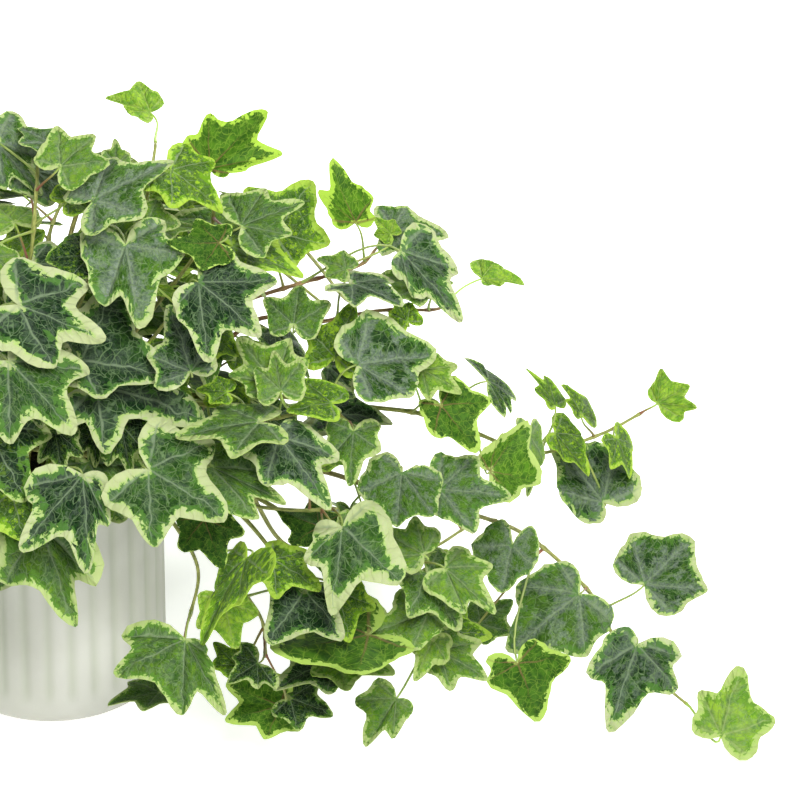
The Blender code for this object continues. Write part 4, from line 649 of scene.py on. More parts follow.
class Leaf:
    """A lobed blade on its stalk. along, side and up are the blade's own directions.

    left and right list each half's corners from the middle lobe to the basal lobe, as (angle in
    degrees, reach as a share of the length, the angle that this corner has on an even blade).
    """

    def __init__(self, heart, along, side, length, left, right, rng):
        self.heart, self.length, self.left, self.right = heart, length, left, right
        self.along, self.side = along, side
        self.up = along.cross(side)
        self.droop = rng.uniform(0.05, 0.16)
        self.fold = rng.uniform(-0.06, 0.16)
        self.pleat = rng.uniform(0.015, 0.04)
        self.wave = (rng.uniform(0.0, 0.035), rng.uniform(0, 2 * math.pi))
        self.start = self.row = None

    def height(self, angle, reach, nominal):
        """How far the blade stands off its own plane, as a share of its length."""
        across = abs(math.sin(angle)) * reach
        lobe = math.cos(2 * math.pi * nominal / LOBE_STEP)
        depth, phase = self.wave
        return (self.fold * across - self.droop * reach**2 - self.pleat * lobe * reach
                + depth * math.sin(3 * angle + phase) * reach**2)

    def surface(self, angle, reach, nominal):
        flat = self.along * math.cos(angle) + self.side * math.sin(angle)
        return self.heart + (flat * reach + self.up * self.height(angle, reach, nominal)) * self.length

    def outline(self, swell):
        """Blade corners from the left basal lobe round the tip to the right one."""
        corners = [(math.radians(angle), reach, nominal) for angle, reach, nominal in reversed(self.left)]
        corners += [(-math.radians(angle), reach, nominal) for angle, reach, nominal in self.right[1:]]
        grow = swell / self.length
        return [self.surface(angle, reach + grow, nominal) for angle, reach, nominal in corners]

    def bends(self, start):
        """Controls of the stalk's curve: it leaves the stem upwards and ends along the blade."""
        span = (self.heart - start).length
        near = start + (self.heart - start) * 0.3 + Vector((0, 0, 0.06 * span))
        return near, self.heart - (self.along * 0.85 + self.up * 0.35) * span * 0.34

    def mesh(self, swell=0.0, with_stalk=True):
        heart_half = HEART_HALF + swell
        edge_half = EDGE_HALF + swell
        stalk_half = STALK_HALF + swell * 0.7
        rim = self.outline(swell)
        top = [self.heart + self.side * stalk_half + self.up * heart_half]
        low = [self.heart + self.side * stalk_half - self.up * heart_half]
        for corner in rim:
            top.append(corner + self.up * edge_half)
            low.append(corner - self.up * edge_half)
        top.append(self.heart - self.side * stalk_half + self.up * heart_half)
        low.append(self.heart - self.side * stalk_half - self.up * heart_half)
        count = len(top)
        tip = count // 2
        points = top + low
        fan = [(count - 1, i, i - 1) for i in range(count - 2, tip, -1)]
        fan += [(count - 1, tip, 0)]
        fan += [(0, i, i - 1) for i in range(tip, 1, -1)]
        faces = fan + [(c + count, b + count, a + count) for a, b, c in fan]
        for a in range(count - 1, 0, -1):
            b = a - 1
            faces += [(a + count, b + count, b), (a + count, b, a)]
        ring = [count, 2 * count - 1, count - 1, 0]
        if with_stalk and self.start is not None:
            ring = self.add_stalk(points, faces, ring, swell)
        faces += [(ring[0], ring[1], ring[2]), (ring[0], ring[2], ring[3])]
        return points, faces

    def add_stalk(self, points, faces, ring, swell):
        near, under = self.bends(self.start)
        middle = (self.start + 3 * near + 3 * under + self.heart) / 8
        bends = [(middle, self.start - self.heart), (self.start, self.start - middle)]
        if (self.heart - self.start).length < SHORT_STALK:
            bends.pop(0)
        for place, ahead in bends:
            ahead = ahead.normalized()
            flat = self.side - ahead * self.side.dot(ahead)
            if flat.length < 0.35:
                flat = ahead.cross(flat_part(self.up, ahead))
            flat.normalize()
            raised = flat.cross(ahead)
            half = STALK_MID + swell * 0.7
            first = len(points)
            for across, lift in ((1, -1), (-1, -1), (-1, 1), (1, 1)):
                points.append(place + (flat * across + raised * lift) * half)
            for k in range(4):
                a, b = ring[k], ring[(k + 1) % 4]
                c, d = first + (k + 1) % 4, first + k
                faces += [(a, b, c), (a, c, d)]
            ring = [first, first + 1, first + 2, first + 3]
        return ring


class Shape:
    """A mesh that others keep clear of, with the ball that holds it."""

    def __init__(self, points, faces, owner):
        self.tree = BVHTree.FromPolygons([tuple(point) for point in points], faces)
        low = Vector([min(point[i] for point in points) for i in range(3)])
        high = Vector([max(point[i] for point in points) for i in range(3)])
        self.middle = (low + high) / 2
        self.radius = (high - low).length / 2
        self.owner = owner

    def hits(self, other):
        if (self.middle - other.middle).length > self.radius + other.radius:
            return False
        return bool(self.tree.overlap(other.tree))


class Plant:
    def __init__(self):
        self.stems = [Stem(path) for path in spread_stems(stem_routes())]
        self.leaves = [[] for _ in self.stems]
        self.leaf_shapes = []
        self.stem_shapes = []
        for i, stem in enumerate(self.stems):
            points, faces = tube(stem.points, [radius + 0.4 for radius in stem.radii], STEM_SIDES)
            self.stem_shapes.append(Shape(points, faces, i))
        ends = [Vector((0, 0, -1.0)), Vector((0, 0, POT_HEIGHT + POT_CLEARANCE))]
        self.pot_shape = Shape(*tube(ends, [POT_RADIUS + POT_CLEARANCE] * 2, POT_SIDES), None)

    def clear(self, leaf, owner):
        points, faces = leaf.mesh(LEAF_CLEARANCE)
        if min(point.z for point in points) < FLOOR_CLEARANCE:
            return False
        for point in points:
            beside = math.hypot(point.x, point.y) - POT_RADIUS
            if beside < POT_CLEARANCE and point.z < POT_HEIGHT + POT_CLEARANCE:
                return False
        whole = Shape(points, faces, owner)
        if whole.hits(self.pot_shape):
            return False
        blade = Shape(*leaf.mesh(LEAF_CLEARANCE, with_stalk=False), owner)
        for shape in self.stem_shapes:
            if (blade if shape.owner == owner else whole).hits(shape):
                return False
        return not any(whole.hits(shape) for shape in self.leaf_shapes)

    def try_leaf(self, leaf, owner, longest):
        """Puts the leaf on the stem's nearest free node from which its stalk runs clear."""
        stem = self.stems[owner]
        ranked = []
        for node in stem.nodes():
            gap = leaf.heart - node
            if gap.length < STALK_SHORTEST or gap.length > longest:
                continue
            if any((node - used).length < STALKS_APART for used in stem.used):
                continue
            facing = gap.normalized().dot(leaf.along)
            ranked.append((gap.length * (1.35 - 0.35 * facing), len(ranked), node))
        ranked.sort()
        for _, _, node in ranked[:NODES_TRIED]:
            leaf.start = node
            if self.clear(leaf, owner):
                stem.used.append(node)
                self.keep(leaf, owner)
                return True
        return False

    def keep(self, leaf, owner):
        self.leaves[owner].append(leaf)
        self.leaf_shapes.append(Shape(*leaf.mesh(), owner))

    def try_shifts(self, i, step, most, longest):
        """Tries a read leaf on the mound, then moved to and fro along the line of sight."""
        number, heart, _, _, inset = (READ_LEAVES + SHADE_LEAVES)[i][:5]
        depth = mound_front(*heart, inset)
        shifts = [0.0, *(way * step * k for k in range(1, most + 1) for way in (-1, 1))]
        return any(self.try_leaf(read_leaf(i, depth + shift), number - 1, longest) for shift in shifts)

    def add_read_leaves(self):
        """Nearest leaves first, with longer stalks for those that find no place."""
        order = sorted(range(len(READ_LEAVES)), key=lambda i: READ_LEAVES[i][4])
        for longest in STALK_LONGEST:
            order = [i for i in order if not self.try_shifts(i, *READ_SHIFTS, longest)]

    def add_shade_leaves(self):
        for i in range(len(SHADE_LEAVES)):
            self.try_shifts(len(READ_LEAVES) + i, *SHADE_SHIFTS, SHADE_STALK)

    def add_hidden_leaves(self):
        rng = random.Random(HIDDEN_SEED + 1)
        for owner in range(len(ROUTES), len(self.stems)):
            nodes = self.stems[owner].nodes()
            count = max(3, int(sum((b - a).length for a, b in zip(nodes, nodes[1:])) / LEAF_EVERY))
            self.grow_leaves(owner, count, None, rng)
        for number, count in REAR_LEAVES.items():
            self.grow_leaves(number - 1, count, REAR, rng)

    def in_open_view(self, leaf):
        """Whether the leaf would show where the photograph shows the bare background."""
        for point in leaf.outline(0.0):
            forward = point.dot(TOWARDS)
            nearness = VIEW_DISTANCE / (VIEW_DISTANCE - forward)
            across = VIEW_CENTRE[0] + (point.dot(ACROSS) - VIEW_CENTRE[0]) * nearness
            rise = VIEW_CENTRE[1] + (point.dot(RISING) - VIEW_CENTRE[1]) * nearness
            if across < FRAME_LEFT:
                continue
            if rise > float(np.interp(across, *zip(*SKYLINE))):
                return True
            for left, right, low, high in VIEW_GAPS:
                if left < across < right and low < rise < high:
                    return True
        return False

    def grow_leaves(self, owner, count, outward, rng):
        stem = self.stems[owner]
        nodes = stem.nodes()
        for i in range(count):
            share = (i + 0.6) / count
            node = nodes[min(len(nodes) - 1, int(share * len(nodes)))]
            for _ in range(LEAF_TRIES):
                leaf = grown_leaf(node, stem.tangent(node), outward or outer_side(node), i, share, rng)
                if not self.in_open_view(leaf) and self.try_leaf(leaf, owner, STALK_USUAL):
                    break


def outer_side(node):
    """Away from the middle of the mound, and upwards near the floor."""
    outward = mound_normal(node)
    outward.z = max(outward.z, 0.15)
    return (outward + Vector((0, 0, max(0.0, 1.0 - node.z / 60.0)))).normalized()


def grown_leaf(node, ahead, outward, turn, share, rng):
    sideways = ahead.cross(outward).normalized() * (1 if turn % 2 else -1)
    length = rng.uniform(*GROWN_LENGTH) * (1.0 - 0.45 * max(0.0, share - 0.55) / 0.45)
    reach = outward * rng.uniform(0.5, 1.0) + sideways * rng.uniform(0.2, 1.0)
    reach.z += rng.uniform(0.0, 0.5)
    heart = node + reach.normalized() * rng.uniform(*GROWN_STALK)
    facing = (outward + Vector((0, 0, 0.55)) + random_lean(rng, 0.35)).normalized()
    along = ahead * rng.uniform(0.1, 0.9) + sideways * rng.uniform(0.0, 0.9)
    along.z -= rng.uniform(0.2, 0.9)
    along = flat_part(along, facing)
    halves = varied_halves(KINDS["young" if length < GROWN_YOUNG else "plain"], rng)
    return Leaf(heart, along, facing.cross(along), length, *halves, rng)


def varied_halves(kind, rng):
    """A blade's two halves, each with its lobes a little turned and longer or shorter."""
    halves = []
    for _ in range(2):
        lobes = []
        for angle, reach in kind[:2]:
            lobes.append((angle + rng.uniform(*LOBE_TURN), reach * rng.uniform(*LOBE_REACH)))
        halves.append(half_blade(*lobes, kind))
    return halves


def half_blade(side_lobe, basal_lobe, kind):
    """Corners of one half, from the middle lobe to the basal lobe, with the notches between."""
    corners = [(0.0, 1.0, 0.0)]
    lobes = ((*side_lobe, LOBE_STEP), (*basal_lobe, 2 * LOBE_STEP))
    for lobe, depth in zip(lobes, kind[2:]):
        angle, reach, nominal = corners[-1]
        if depth:
            corners.append(((angle + lobe[0]) / 2, (reach + lobe[1]) / 2 * depth, (nominal + lobe[2]) / 2))
        corners.append(lobe)
    return corners


def random_lean(rng, size):
    return Vector((rng.uniform(-size, size), rng.uniform(-size, size), rng.uniform(-size, size)))


def read_leaf(index, forward):
    """A leaf read from the photograph, at this distance in front of the picture plane.

    Its lobes are laid out on its own sloping plane, so that their tips show where they were read.
    """
    _, heart, tips, slope, _, *words = (READ_LEAVES + SHADE_LEAVES)[index]
    kind = KINDS[next((word for word in words if word in KINDS), "broad")]
    base = seen(*heart, forward)
    face = (ACROSS * slope[0] + RISING * slope[1] + TOWARDS).normalized()
    spans = []
    for tip in (*tips, None, None, None, None)[:5]:
        flat = seen(*tip, forward) - base if tip else None
        spans.append(flat - TOWARDS * (flat.dot(face) / TOWARDS.dot(face)) if tip else None)
    length = spans[0].length
    along = spans[0] / length
    counter = face.cross(along)
    lobes = []
    for i, span in enumerate(spans[1:]):
        turn = -1 if i > 1 else 1
        if span:
            angle = math.degrees(math.atan2(span.dot(counter) * turn, span.dot(along)))
            lobes.append((angle % 360.0, span.length / length))
        else:
            lobes.append(None)
    halves = []
    for own, other in ((lobes[:2], lobes[2:]), (lobes[2:], lobes[:2])):
        side_lobe = own[0] or other[0] or kind[0]
        basal_lobe = own[1] or other[1] or kind[1]
        side_lobe = (min(max(side_lobe[0], 24.0), 84.0), min(max(side_lobe[1], 0.35), 1.15))
        basal_lobe = (min(max(basal_lobe[0], side_lobe[0] + 26.0), 150.0), min(max(basal_lobe[1], 0.25), 0.9))
        halves.append(half_blade(side_lobe, basal_lobe, kind))
    if "under" in words:
        counter.negate()
        halves.reverse()
    made = Leaf(base, along, counter, length, *halves, random.Random(index + 1))
    made.row = index
    return made


def grow_plant():
    plant = Plant()
    plant.add_read_leaves()
    plant.add_hidden_leaves()
    plant.add_shade_leaves()
    add_small_leaves(plant)
    return plant


class Piece:
    """Gathers the points and faces of one piece, with the values that its materials read."""

    def __init__(self):
        self.points, self.faces, self.slots = [], [], []
        self.at, self.looks, self.rim = [], [], []

    def add(self, points, faces, slot, at=None, look=(0, 0, 0, 0, 0), rim=None):
        first = len(self.points)
        self.points += points
        self.faces += [tuple(first + i for i in face) for face in faces]
        self.slots += [slot] * len(faces) if isinstance(slot, int) else slot
        self.at += at or [(0, 0, 0)] * len(points)
        self.looks += look if isinstance(look, list) else [look] * len(points)
        self.rim += rim or [1.0] * len(points)

    def build(self, name, finishes, slot, sharp=50.0):
        mesh = bpy.data.meshes.new(name)
        mesh.from_pydata([tuple(value * MM for value in point) for point in self.points], [], self.faces)
        for finish in finishes:
            mesh.materials.append(finish)
        mesh.polygons.foreach_set("material_index", self.slots)
        looks = [values[:3] for values in self.looks]
        tints = [(*values[3:], 0) for values in self.looks]
        for label, values in (("at", self.at), ("look", looks), ("tint", tints), ("rim", self.rim)):
            kind, field = ("FLOAT", "value") if label == "rim" else ("FLOAT_VECTOR", "vector")
            carried = mesh.attributes.new(label, kind, "POINT")
            carried.data.foreach_set(field, np.ravel(np.array(values, float)))
        mesh.shade_smooth()
        mesh.set_sharp_from_angle(angle=math.radians(sharp))
        made = placed(name, mesh)
        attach(made, "root")
        return made


def lobe_share(t):
    """How much of a lobe's rise above its notch is left, a share t of the way to the notch."""
    return 0.5 * (1 - math.sin(math.pi * t / 2)) + 0.5 * math.cos(math.pi * t / 2) ** 2


def half_contour(corners):
    """Fine points of one half's edge, from the middle lobe's tip round to the heart."""
    marks = [corners[0]]
    for corner in corners[1:]:
        before = marks[-1]
        if corner[2] - before[2] > LOBE_STEP - 1:
            middle = [(a + b) / 2 for a, b in zip(before, corner)]
            marks.append((middle[0], middle[1] * PLAIN_NOTCH, middle[2]))
        marks.append(corner)
    fine = []
    for i, (start, end) in enumerate(zip(marks, marks[1:])):
        for k in range(SPAN_STEPS):
            t = (k / SPAN_STEPS) ** 1.3 if i % 2 == 0 else 1 - (1 - k / SPAN_STEPS) ** 1.3
            lobe, notch, away = (start, end, t) if i % 2 == 0 else (end, start, 1 - t)
            reach = notch[1] + (lobe[1] - notch[1]) * lobe_share(away) * (TIP_SHARE if away == 0 else 1.0)
            fine.append((start[0] + (end[0] - start[0]) * t, reach, start[2] + (end[2] - start[2]) * t))
    angle, reach, nominal = marks[-1]
    turn = min(BASE_TURN, 172.0 - angle)
    for k in range(SPAN_STEPS + 1):
        t = k / SPAN_STEPS
        fine.append((angle + turn * t, 0.03 + (reach - 0.03) * (1 - t**1.6), nominal + 24.0 * t))
    return fine


def edge_distance(points, outline):
    """How far each flat point of a blade lies from the blade's outline."""
    starts, spans = outline[:-1], np.diff(outline, axis=0)
    gaps = points[:, None] - starts[None]
    share = np.clip((gaps * spans).sum(axis=2) / (spans**2).sum(axis=1), 0.0, 1.0)
    return np.linalg.norm(gaps - share[:, :, None] * spans, axis=2).min(axis=1)


def beside_midrib(nominal):
    """How far a place lies from its lobe's midrib, as a share of the way to the notch."""
    half = math.radians(LOBE_STEP / 2)
    return (abs((abs(nominal) + half) % (2 * half) - half) / half) ** 0.6


def varied(look, rng):
    """A look with a slightly wider or narrower margin, and slightly lighter or darker."""
    grey, young, margin, light, sunny = look
    return grey, young, margin * rng.uniform(0.8, 1.25), light + rng.uniform(-0.09, 0.09), sunny


def add_blade(piece, leaf, look, rng):
    left = [(math.radians(a), r, math.radians(n)) for a, r, n in reversed(half_contour(leaf.left))]
    right = [(-math.radians(a), r, -math.radians(n)) for a, r, n in half_contour(leaf.right)[1:]]
    seed = rng.uniform(0, SEEDS)
    wave, phase = rng.uniform(*WAVE_DEPTH), rng.uniform(0, 6.3)
    edge = []
    for angle, reach, nominal in left + right:
        coarse = COARSE_RIPPLE * math.sin(11 * angle + phase)
        edge.append((angle, reach * (1 + coarse + FINE_RIPPLE * math.sin(23 * angle + seed)), nominal))
    outline = np.array([(reach * math.cos(angle), reach * math.sin(angle)) for angle, reach, _ in edge])
    flat = np.concatenate([[(0.0, 0.0)], *(outline * ring for ring in BLADE_RINGS)])
    margin = edge_distance(flat, outline).tolist()
    sides = []
    for face in (1, -1):
        points = [leaf.heart + leaf.up * HEART_THICK * face]
        at = [(0, 0, seed)]
        for ring in BLADE_RINGS:
            thick = HEART_THICK + (EDGE_THICK - HEART_THICK) * ring**0.7
            for angle, reach, nominal in edge:
                away = reach * ring
                spot = leaf.surface(angle, away, math.degrees(abs(nominal)))
                lift = wave * math.sin(7 * angle + phase) * ring**3 + CREASE * beside_midrib(nominal) * ring
                lift = (lift - CURL * ring**4) * leaf.length * reach
                points.append(spot + leaf.up * (lift + thick * face))
                at.append((away * math.cos(nominal), away * math.sin(nominal), seed))
        sides.append((points, at))
    count = len(edge)
    last = 1 + (len(BLADE_RINGS) - 1) * count
    top = [(0, 1 + k + 1, 1 + k) for k in range(count - 1)]
    for first in range(1, last, count):
        for k in range(first, first + count - 1):
            top.append((k, k + 1, k + 1 + count, k + count))
    total = len(sides[0][0])
    under = [tuple(total + i for i in reversed(face)) for face in top]
    walls = [(k + 1, k, k + total, k + 1 + total) for k in range(last, last + count - 1)]
    for side in (0, count - 1):
        column = [0] + [1 + side + ring * count for ring in range(len(BLADE_RINGS))]
        for a, b in zip(column, column[1:]):
            walls.append((a, b, b + total, a + total) if side == 0 else (b, a, a + total, b + total))
    slots = [TOP_SLOT] * len(top) + [UNDER_SLOT] * (len(under) + len(walls))
    points, at = (sides[0][i] + sides[1][i] for i in range(2))
    piece.add(points, top + under + walls, slots, at, look, margin + margin)


def add_tube(piece, path, radii, sides, slot, look, seed):
    points, faces = tube(path, radii, sides)
    at = []
    along = 0.0
    for i, (point, radius) in enumerate(zip(path, radii)):
        along += (point - path[i - 1]).length if i else 0.0
        for k in range(sides):
            angle = 2 * math.pi * k / sides
            at.append((math.cos(angle) * radius / 10, math.sin(angle) * radius / 10, seed + along / 10))
    looks = [tuple(look(i / (len(path) - 1))) for i in range(len(path)) for _ in range(sides)]
    piece.add(points, faces, slot, at, looks)


def stalk_path(start, leaf):
    """A curve that leaves the stem upwards and comes to the heart along the blade."""
    near, under = leaf.bends(start)
    path = []
    for i in range(STALK_STEPS + 1):
        t = i / STALK_STEPS
        path.append(start * (1 - t)**3 + near * 3 * t * (1 - t)**2 + under * 3 * t * t * (1 - t)
                    + leaf.heart * t**3)
    return path


def add_vine(number, stem, leaves, looks, finishes):
    piece = Piece()
    rng = random.Random(number)
    path = smooth_path(stem.points, PATH_STEP)
    starts = [min(path, key=lambda point: (point - leaf.start).length) for leaf in leaves]
    radii = []
    for i, point in enumerate(path):
        radius = STEM_ROOT_RADIUS + (STEM_TIP_RADIUS - STEM_ROOT_RADIUS) * i / (len(path) - 1)
        swell = max([math.exp(-((point - start).length / 2.2) ** 2) for start in starts], default=0.0)
        radii.append(radius * (0.72 + 0.3 * swell + 0.05 * noise.noise(point * 0.3)))
    radii[-1] *= 0.5
    red, young = RED_LOOK if number in RED_STEMS else (rng.uniform(0.0, 0.3), rng.uniform(0.6, 1.0))
    add_tube(piece, path, radii, STEM_ROUND, STEM_SLOT,
             lambda t: (red, 0.15 + young * t**0.5, 0, 0, 0), rng.uniform(0, SEEDS))
    for leaf, start, look in zip(leaves, starts, looks):
        values = varied(LOOKS[look], rng)
        add_blade(piece, leaf, values, rng)
        curve = stalk_path(start, leaf)
        shares = [i / STALK_STEPS for i in range(STALK_STEPS + 1)]
        thick = [STALK_MID * (1.1 - 0.25 * t + 0.5 * math.exp(-t * 12)) for t in shares]
        redness = rng.random()
        add_tube(piece, curve, thick, STALK_ROUND, STALK_SLOT,
                 lambda t: (redness * (1 - 0.7 * t), values[1], 0, 0, 0), rng.uniform(0, SEEDS))
    made = piece.build(f"ivy_{number:02d}", finishes, "ivy")
    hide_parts(f"vine_{number:02d}")


def add_small_leaves(plant):
    """Fills the plant between its main leaves with small leaves on short stalks."""
    rng = random.Random(SMALL_SEED)
    for owner, stem in enumerate(plant.stems):
        places = stem.places(SMALL_SHARES)
        rng.shuffle(places)
        grown = 0
        for place in places:
            grown += try_small(plant, owner, lambda: small_leaf(place, stem.tangent(place), rng), before_pot)
            if grown == SMALL_MOST:
                break
        if owner >= len(ROUTES):
            try_small(plant, owner, lambda: tip_leaf(stem, rng))


def try_small(plant, owner, grow, unfit=lambda leaf: False):
    """Grows a leaf up to a few times, until one has room and hides nothing that should show."""
    for _ in range(SMALL_TRIES):
        leaf = grow()
        if not plant.in_open_view(leaf) and not unfit(leaf) and plant.clear(leaf, owner):
            plant.keep(leaf, owner)
            return True
    return False


def before_pot(leaf):
    """Whether a leaf would hide the part of the pot that shows in the photograph."""
    near = POT_RADIUS + 12
    return any(abs(point.x) < near and point.y < 0 and point.z < POT_HEIGHT for point in leaf.outline(0.0))


def small_leaf(place, ahead, rng):
    outward = outer_side(place)
    sideways = ahead.cross(outward).normalized() * rng.choice((-1, 1))
    reach = outward * rng.uniform(-0.2, 0.9) + sideways * rng.uniform(0.2, 1.0)
    reach += Vector((0, 0, rng.uniform(0.0, 0.5)))
    heart = place + reach.normalized() * rng.uniform(*SMALL_STALK)
    facing = (outward + Vector((0, 0, 0.5)) + random_lean(rng, 0.5)).normalized()
    along = ahead * rng.uniform(-0.2, 0.9) + sideways * rng.uniform(0.0, 0.9)
    along.z -= rng.uniform(0.0, 0.8)
    along = flat_part(along, facing)
    halves = varied_halves(KINDS[rng.choice(("broad", "shallow", "young"))], rng)
    made = Leaf(heart, along, facing.cross(along), rng.uniform(*SMALL_LENGTH), *halves, rng)
    made.start = place
    return made


def tip_leaf(stem, rng):
    """The young leaf that ends a stem."""
    tip = stem.points[-1]
    ahead = (tip - stem.points[-2]).normalized()
    facing = (outer_side(tip) + Vector((0, 0, 0.6)) + random_lean(rng, 0.6)).normalized()
    along = (ahead - facing * ahead.dot(facing) + random_lean(rng, 0.3)).normalized()
    facing = flat_part(facing, along)
    halves = varied_halves(KINDS["young"], rng)
    heart = tip + ahead * rng.uniform(*TIP_STALK)
    made = Leaf(heart, along, facing.cross(along), rng.uniform(*TIP_LENGTH), *halves, rng)
    made.start = tip
    return made


def leaf_looks(plant):
    """One look for each leaf of each stem, as read or drawn with a fixed seed."""
    read = {row: look for look, rows in READ_LOOKS.items() for row in rows}
    rng = random.Random(LOOK_SEED)

    def look(leaf):
        if leaf.row is not None:
            return read[leaf.row]
        return rng.choice(YOUNG_LOOKS if leaf.length < YOUNG_LENGTH else GROWN_LOOKS)

    return [[look(leaf) for leaf in leaves] for leaves in plant.leaves]


class Value:
    """An output of a material's node. Sums, differences and products are nodes too."""

    def __init__(self, build, socket):
        self.build, self.socket = build, socket

    def __add__(self, other):
        return self.build.math("ADD", self, other)

    def __sub__(self, other):
        return self.build.math("SUBTRACT", self, other)

    def __mul__(self, other):
        return self.build.math("MULTIPLY", self, other)


class Nodes:
    """Short calls for building one material's nodes."""

    def __init__(self, name, roughness):
        self.made = bpy.data.materials.new(name)
        self.made.use_nodes = True
        self.tree = self.made.node_tree
        self.shader = self.tree.nodes["Principled BSDF"]
        self.shader.inputs["Roughness"].default_value = roughness

    def put(self, socket, value):
        if isinstance(value, Value):
            self.tree.links.new(value.socket, socket)
        else:
            socket.default_value = (*value, 1.0) if socket.type == "RGBA" and len(value) == 3 else value

    def node(self, kind, inputs, output=0, **fields):
        """Makes a node with these inputs, by name or number, and returns one of its outputs."""
        made = self.tree.nodes.new("ShaderNode" + kind)
        for field, value in fields.items():
            setattr(made, field, value)
        for key, value in inputs.items():
            self.put(made.inputs[key], value)
        return Value(self, made.outputs[output])

    def attribute(self, name, output="Vector"):
        return self.node("Attribute", {}, output, attribute_name=name)

    def place(self):
        return self.node("TexCoord", {}, "Object")

    def math(self, operation, *values):
        return self.node("Math", dict(enumerate(values)), operation=operation)

    def vector(self, operation, *values, output=0):
        return self.node("VectorMath", dict(enumerate(values)), output, operation=operation)

    def split(self, vector):
        first = self.node("SeparateXYZ", {0: vector})
        return [Value(self, socket) for socket in first.socket.node.outputs]

    def noise(self, vector, scale, detail=2.0, roughness=0.5, output="Fac"):
        inputs = {"Vector": vector, "Scale": scale, "Detail": detail, "Roughness": roughness}
        return self.node("TexNoise", inputs, output)

    def cells(self, vector, scale, feature="DISTANCE_TO_EDGE", output="Distance"):
        return self.node("TexVoronoi", {"Vector": vector, "Scale": scale}, output, feature=feature)

    def patches(self, vector, scale):
        """A value for each cell of an uneven net, the same all over the cell, about zero."""
        return self.split(self.cells(vector, scale, "F1", "Color"))[0] - 0.5

    def ramp(self, value, low, high, start=0.0, end=1.0):
        """A smooth step from start to end as the value goes from low to high."""
        inputs = {"Value": value, "From Min": low, "From Max": high, "To Min": start, "To Max": end}
        return self.node("MapRange", inputs, "Result", interpolation_type="SMOOTHSTEP")

    def mix(self, share, first, second):
        return self.node("Mix", {0: share, 6: first, 7: second}, 2, data_type="RGBA")

    def finish(self, colour, relief, strength, distance, **inputs):
        """Gives the shader its colour, its relief this deep in metres, and other inputs."""
        self.put(self.shader.inputs["Base Color"], colour)
        bump = self.node("Bump", {"Height": relief, "Strength": strength, "Distance": distance})
        self.put(self.shader.inputs["Normal"], bump)
        for name, value in inputs.items():
            self.put(self.shader.inputs[name.replace("_", " ")], value)
        return self.made


def vein_lines(build, at):
    """Masks of a blade's main veins, of the finer ones that branch off them and of their net.

    Also the bent coordinates that the net is drawn in, how far a place lies beside its lobe's
    main vein and from the heart, and how far from the nearest finer vein.
    """
    x, y, _ = build.split(at)
    angle = build.math("ARCTAN2", y, x) + (build.noise(at, 5.0, 1.0) - 0.5) * 0.20
    off = build.math("PINGPONG", angle, math.radians(LOBE_STEP / 2))
    away = build.vector("LENGTH", build.node("CombineXYZ", {"X": x, "Y": y}), output="Value")
    beside = away * build.math("SINE", off)
    width = build.ramp(away, 0.0, 1.0, 0.018, 0.006)
    main = build.ramp(beside, width * 0.30, width, 1.0, 0.0)
    chevron = away * build.math("COSINE", off) - beside * CHEVRON_SLOPE
    drift = (build.noise(at, 6.0, 2.0) - 0.5) * 0.16
    step = build.math("PINGPONG", chevron + drift, CHEVRON_APART)
    fine = build.ramp(step, 0.001, 0.010, 1.0, 0.0)
    sway = build.noise(at, 7.0, output="Color")
    bent = build.vector("ADD", at, build.vector("MULTIPLY", sway, (0.16, 0.16, 0.16)))
    net = build.math("MAXIMUM", build.ramp(build.cells(bent, NET_SCALE), 0.010, 0.062, 1.0, 0.0),
                     build.ramp(build.cells(bent, FINE_NET_SCALE), 0.0, 0.10, 0.22, 0.0))
    return main, fine, net, bent, beside, away, step


def leaf_inputs(build):
    """The values that a blade carries: place, distance to its edge, and the parts of its look."""
    grey, young, margin = build.split(build.attribute("look"))
    light, sunny, _ = build.split(build.attribute("tint"))
    return build.attribute("at"), build.attribute("rim", "Fac"), grey, young, margin, light, sunny


